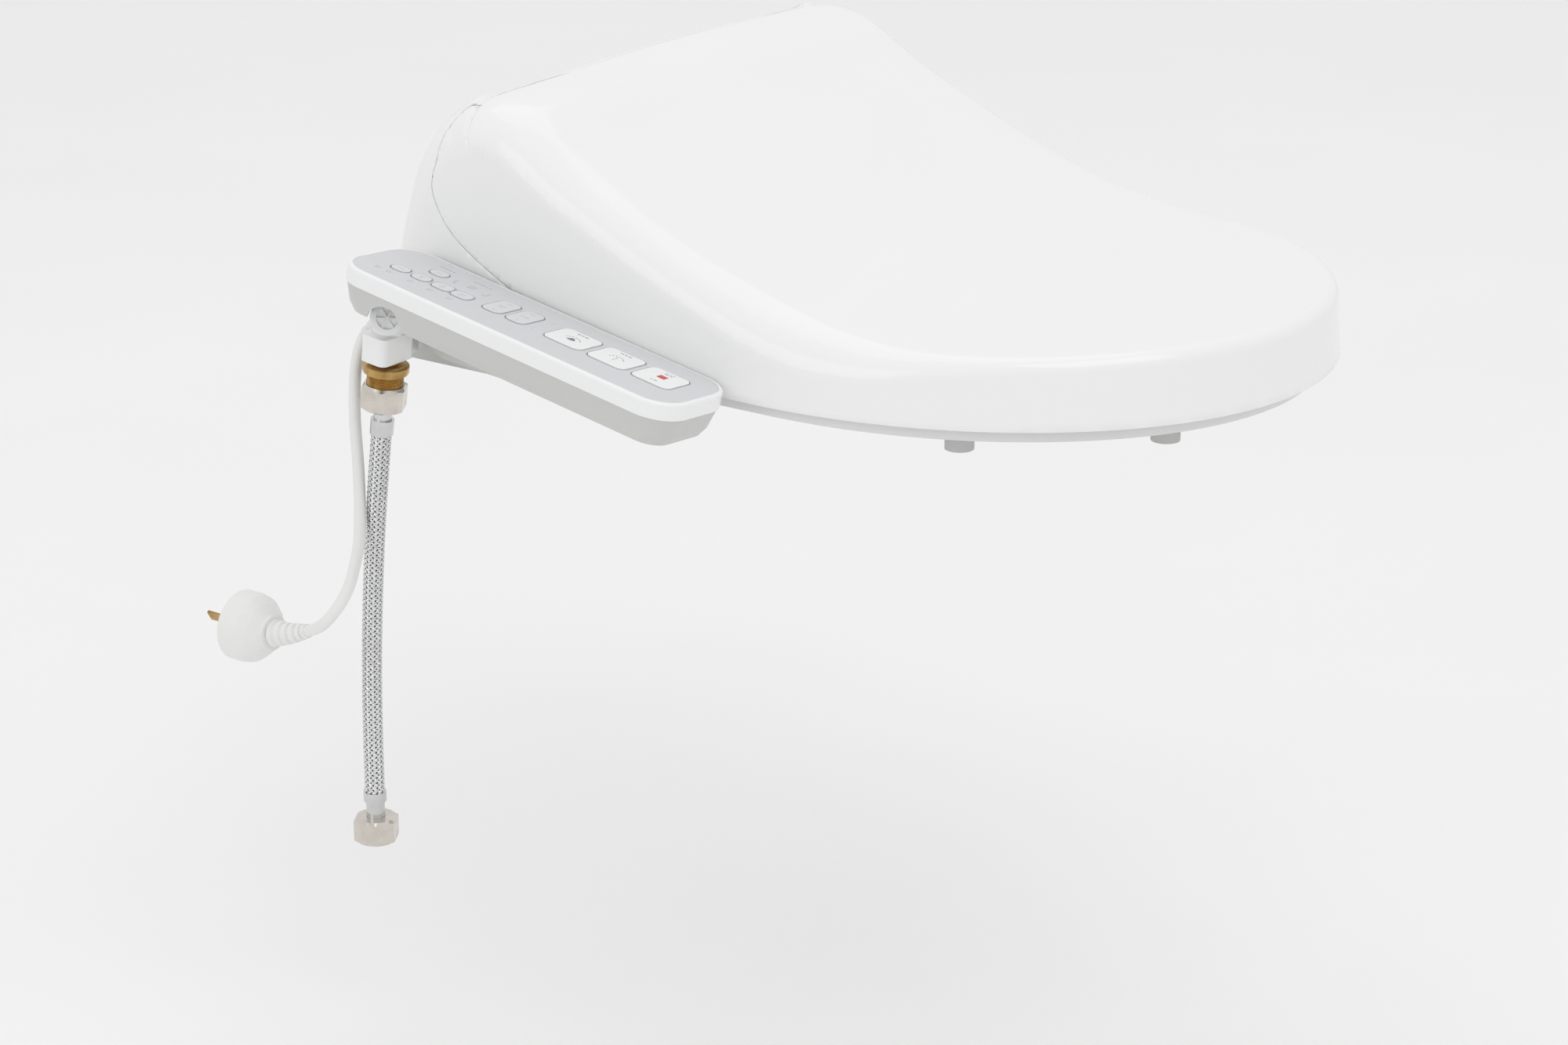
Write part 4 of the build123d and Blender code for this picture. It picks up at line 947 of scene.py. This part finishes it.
for v in (20.0, 29.4, 38.5):
    frames_ink.words(81.5, v, (0.7,), 0.7)
frames_ink.piece("panel_print", "unit", INK, "panel_overlay")

captions = {
    "pressure_rocker": [(68.6, 22.0, (1.6, 1.2)), (68.6, 29.4, (2.4, 2.8)), (68.6, 36.8, (1.2,))],
    "position_rocker": [(52.0, 22.0, (1.4, 1.6)), (52.0, 28.2, (2.2, 2.0)), (52.0, 30.2, (2.8,)),
                        (52.0, 37.0, (1.8,))],
    "water_heat_key": [(30.0, 36.0, (2.4, 1.8)), (30.0, 38.4, (1.6, 1.4))],
    "seat_heat_key": [(16.2, 36.0, (2.2,)), (16.2, 38.4, (1.6, 1.4))],
    "power_save_key": [(1.0, 36.4, (1.8, 1.0)), (1.0, 38.6, (2.4,))],
    "dryer_key": [(-13.8, 37.7, (1.4, 2.2))],
    "massage_key": [(0.8, 21.6, (2.0, 1.8))],
}
for name, rows in captions.items():
    ink = Ink(KEY_Z)
    for u, v, lengths in rows:
        ink.words(u, v, lengths, 0.7, 0.5)
    ink.piece(name + "_print", name, INK_PALE, name)

stop_square = Ink(KEY_Z)
stop_square.shape([(162.4 + x, 27.6 + y) for x, y in rounded_rectangle(2.6, 2.3, 0.3, 2)])
stop_square.piece("stop_square", "stop_key", INK_RED, "stop_key")
stop_words = Ink(KEY_Z)
stop_words.words(162.4, 35.6, (1.6, 2.4), 0.9)
stop_words.words(162.4, 22.0, (3.0, 1.8), 0.9)
stop_words.words(162.4, 20.0, (2.2, 1.4, 1.8), 0.5)
stop_words.piece("stop_words", "stop_key", INK, "stop_key")


def spray(name, u, fan):
    """A basin line of dots with jets over it."""
    ink = Ink(KEY_Z)
    for k in range(-3, 4):
        angle = radians(90.0 + 22.0 * k)
        ink.shape([(u + 4.4 * cos(angle) * 1.15 + x, 26.5 + 4.4 * (1 - sin(angle)) * 1.1 + y)
                   for x, y in rounded_rectangle(0.5, 0.34, 0.3, 2)])
    if fan:
        for k in range(-2, 3):
            reach = Vector((sin(radians(16.0 * k)), cos(radians(16.0 * k))))
            side = Vector((reach.y, -reach.x))
            foot = Vector((u, 28.2))
            ink.shape([tuple(foot + reach * 0.8 + side * 0.2), tuple(foot + reach * 4.6 + side * 0.62),
                       tuple(foot + reach * 4.6 - side * 0.62), tuple(foot + reach * 0.8 - side * 0.2)])
    else:
        for k in range(4):
            ink.bar(u + 0.25 * (k % 2), 28.6 + 1.5 * k, 0.62, 0.8)
    ink.words(u, 20.4, (2.2, 1.8, 2.6), 0.8)
    ink.piece(name.replace("_key", "_mark"), name, INK_DARK, name)


spray("rear_wash_key", 132.5, False)
spray("front_wash_key", 102.5, True)

# ---------------------------------------------------------------- water inlet
INLET_ORIGIN = Vector((-230.0, 23.9, 39.0))
INLET_LEAN = radians(7.5)
INLET_AXIS = Vector((0.0, -sin(INLET_LEAN), cos(INLET_LEAN)))
INLET_SIDE = Vector((1.0, 0.0, 0.0))
INLET_BACK = INLET_AXIS.cross(INLET_SIDE)
NUT_FLATS = 24.0
HOSE_FOOT = Vector((-230.0, 48.8, 0.0))


def on_inlet(p):
    """Local x, y and distance down the inlet's axis."""
    return tuple(INLET_ORIGIN + INLET_SIDE * p[0] + INLET_BACK * p[1] - INLET_AXIS * p[2])


def under_foot(p):
    return (HOSE_FOOT.x + p[0], HOSE_FOOT.y + p[1], p[2])


def hexagonal(angle, radius):
    """Keep a turned radius inside the nut's flats."""
    part = (angle + pi / 6) % (pi / 3) - pi / 6
    return min(radius, NUT_FLATS / 2 / cos(part))


def turned_ring(name, profile, material, place, around=72, lobes=None, smooth_angle=30.0):
    """A turned body with a bore: the profile closes on itself."""
    rings = []
    for radius, height in profile + profile[:1]:
        ring = []
        for i in range(around):
            angle = 2 * pi * i / around
            r = lobes(angle, radius) if lobes and radius > NUT_FLATS / 2 - 1.5 else radius
            ring.append((r * cos(angle), r * sin(angle), height))
        rings.append([place(p) for p in ring])
    return welded(loft(name, rings, material, caps=False, smooth_angle=smooth_angle), 0.005)


def nut_profile(top, foot, bore_top, bore_foot, seat):
    """Chamfered hexagon from its top height to its foot, bored narrow over a wide thread."""
    step = 1.0 if foot > top else -1.0
    wide = NUT_FLATS / 2 / cos(pi / 6)
    return [(bore_top, top), (NUT_FLATS / 2 - 0.6, top), (wide + 0.05, top + step * 1.5),
            (wide + 0.05, foot - step * 1.5), (NUT_FLATS / 2 - 0.6, foot), (bore_foot, foot),
            (bore_foot, seat), (bore_top, seat)]


THREAD_R = 10.48
THREAD_TURNS = 12
THREAD_START = 34.6
THREAD_STEP = 0.95
thread = []
for k in range(THREAD_TURNS):
    s = THREAD_START + k * THREAD_STEP
    thread += [(THREAD_R - 0.55, s), (THREAD_R - 0.02, s + 0.40), (THREAD_R - 0.02, s + 0.55)]
collar = [(5.2, 26.2), (7.0, 26.2), (7.0, 28.2), (11.6, 28.5), (13.1, 29.4), (13.2, 30.0), (13.2, 33.0),
          (12.8, 33.9), (11.2, 34.4)]
adapter = turned_ring("brass_body", collar + thread + [(THREAD_R - 0.6, 48.6), (5.2, 48.8)], BRASS, on_inlet,
                      smooth_angle=28.0)
give(adapter, "unit", "brass", "brass_adapter")
top_nut = turned_ring("top_nut", nut_profile(56.0, 41.0, 5.6, THREAD_R + 0.05, 50.0), NICKEL, on_inlet,
                      lobes=hexagonal)
give(top_nut, "unit", "nickel", "hose_nuts")
foot_nut = turned_ring("foot_nut", nut_profile(-271.5, -286.5, 5.6, 9.32, -275.5), NICKEL, under_foot,
                       lobes=hexagonal)
give(foot_nut, "unit", "nickel", "hose_nuts")

# ---------------------------------------------------------------- stage
FLOOR_Z = -0.40
FLOOR_HALF = 14
STUDIO_LIGHT = 0.86
floor_mesh = bpy.data.meshes.new("floor")
floor_corners = [(x * FLOOR_HALF, y * FLOOR_HALF, FLOOR_Z) for x, y in ((-1, -1), (1, -1), (1, 1), (-1, 1))]
floor_mesh.from_pydata(floor_corners, [], [(0, 1, 2, 3)])
floor_piece = bpy.data.objects.new("floor", floor_mesh)
floor_material = Shader("floor_paper", (0.93, 0.93, 0.93), 0.85)
floor_material.tint(floor_material.noise(3.0), (0.915, 0.915, 0.915))
floor_mesh.materials.append(floor_material.material)
bpy.context.scene.collection.objects.link(floor_piece)

world = bpy.data.worlds.new("studio")
world.use_nodes = True
world.node_tree.nodes["Background"].inputs["Color"].default_value = (1.0, 1.0, 1.0, 1.0)
world.node_tree.nodes["Background"].inputs["Strength"].default_value = STUDIO_LIGHT
bpy.context.scene.world = world
bpy.context.scene.view_settings.view_transform = "Standard"


def area_light(name, place, target, width, power, color=(1.0, 1.0, 1.0)):
    data = bpy.data.lights.new(name, "AREA")
    data.shape = "SQUARE"
    data.size = width
    data.energy = power
    data.color = color
    made = bpy.data.objects.new(name, data)
    made.location = place
    direction = Vector(target) - Vector(place)
    made.rotation_mode = "QUATERNION"
    made.rotation_quaternion = direction.to_track_quat("-Z", "Y")
    bpy.context.scene.collection.objects.link(made)
    return made


area_light("key_light", (-0.6, -1.7, 2.3), (0.0, -0.15, 0.05), 1.8, 9.0)
area_light("side_light", (-2.6, 0.5, 1.2), (-0.1, 0.0, 0.0), 1.4, 4.0)
area_light("top_light", (0.6, 0.6, 2.6), (0.0, -0.1, 0.1), 2.2, 5.0)

# ---------------------------------------------------------------- carried-over CAD nodes
for name, piece in nodes.items():
    usual = NODE_MATERIAL.get(name, SLOT_MATERIAL[slot_of[name]])
    piece.data.materials.clear()
    piece.data.materials.append(FILM_KEY if name in FILM_KEYS else usual)
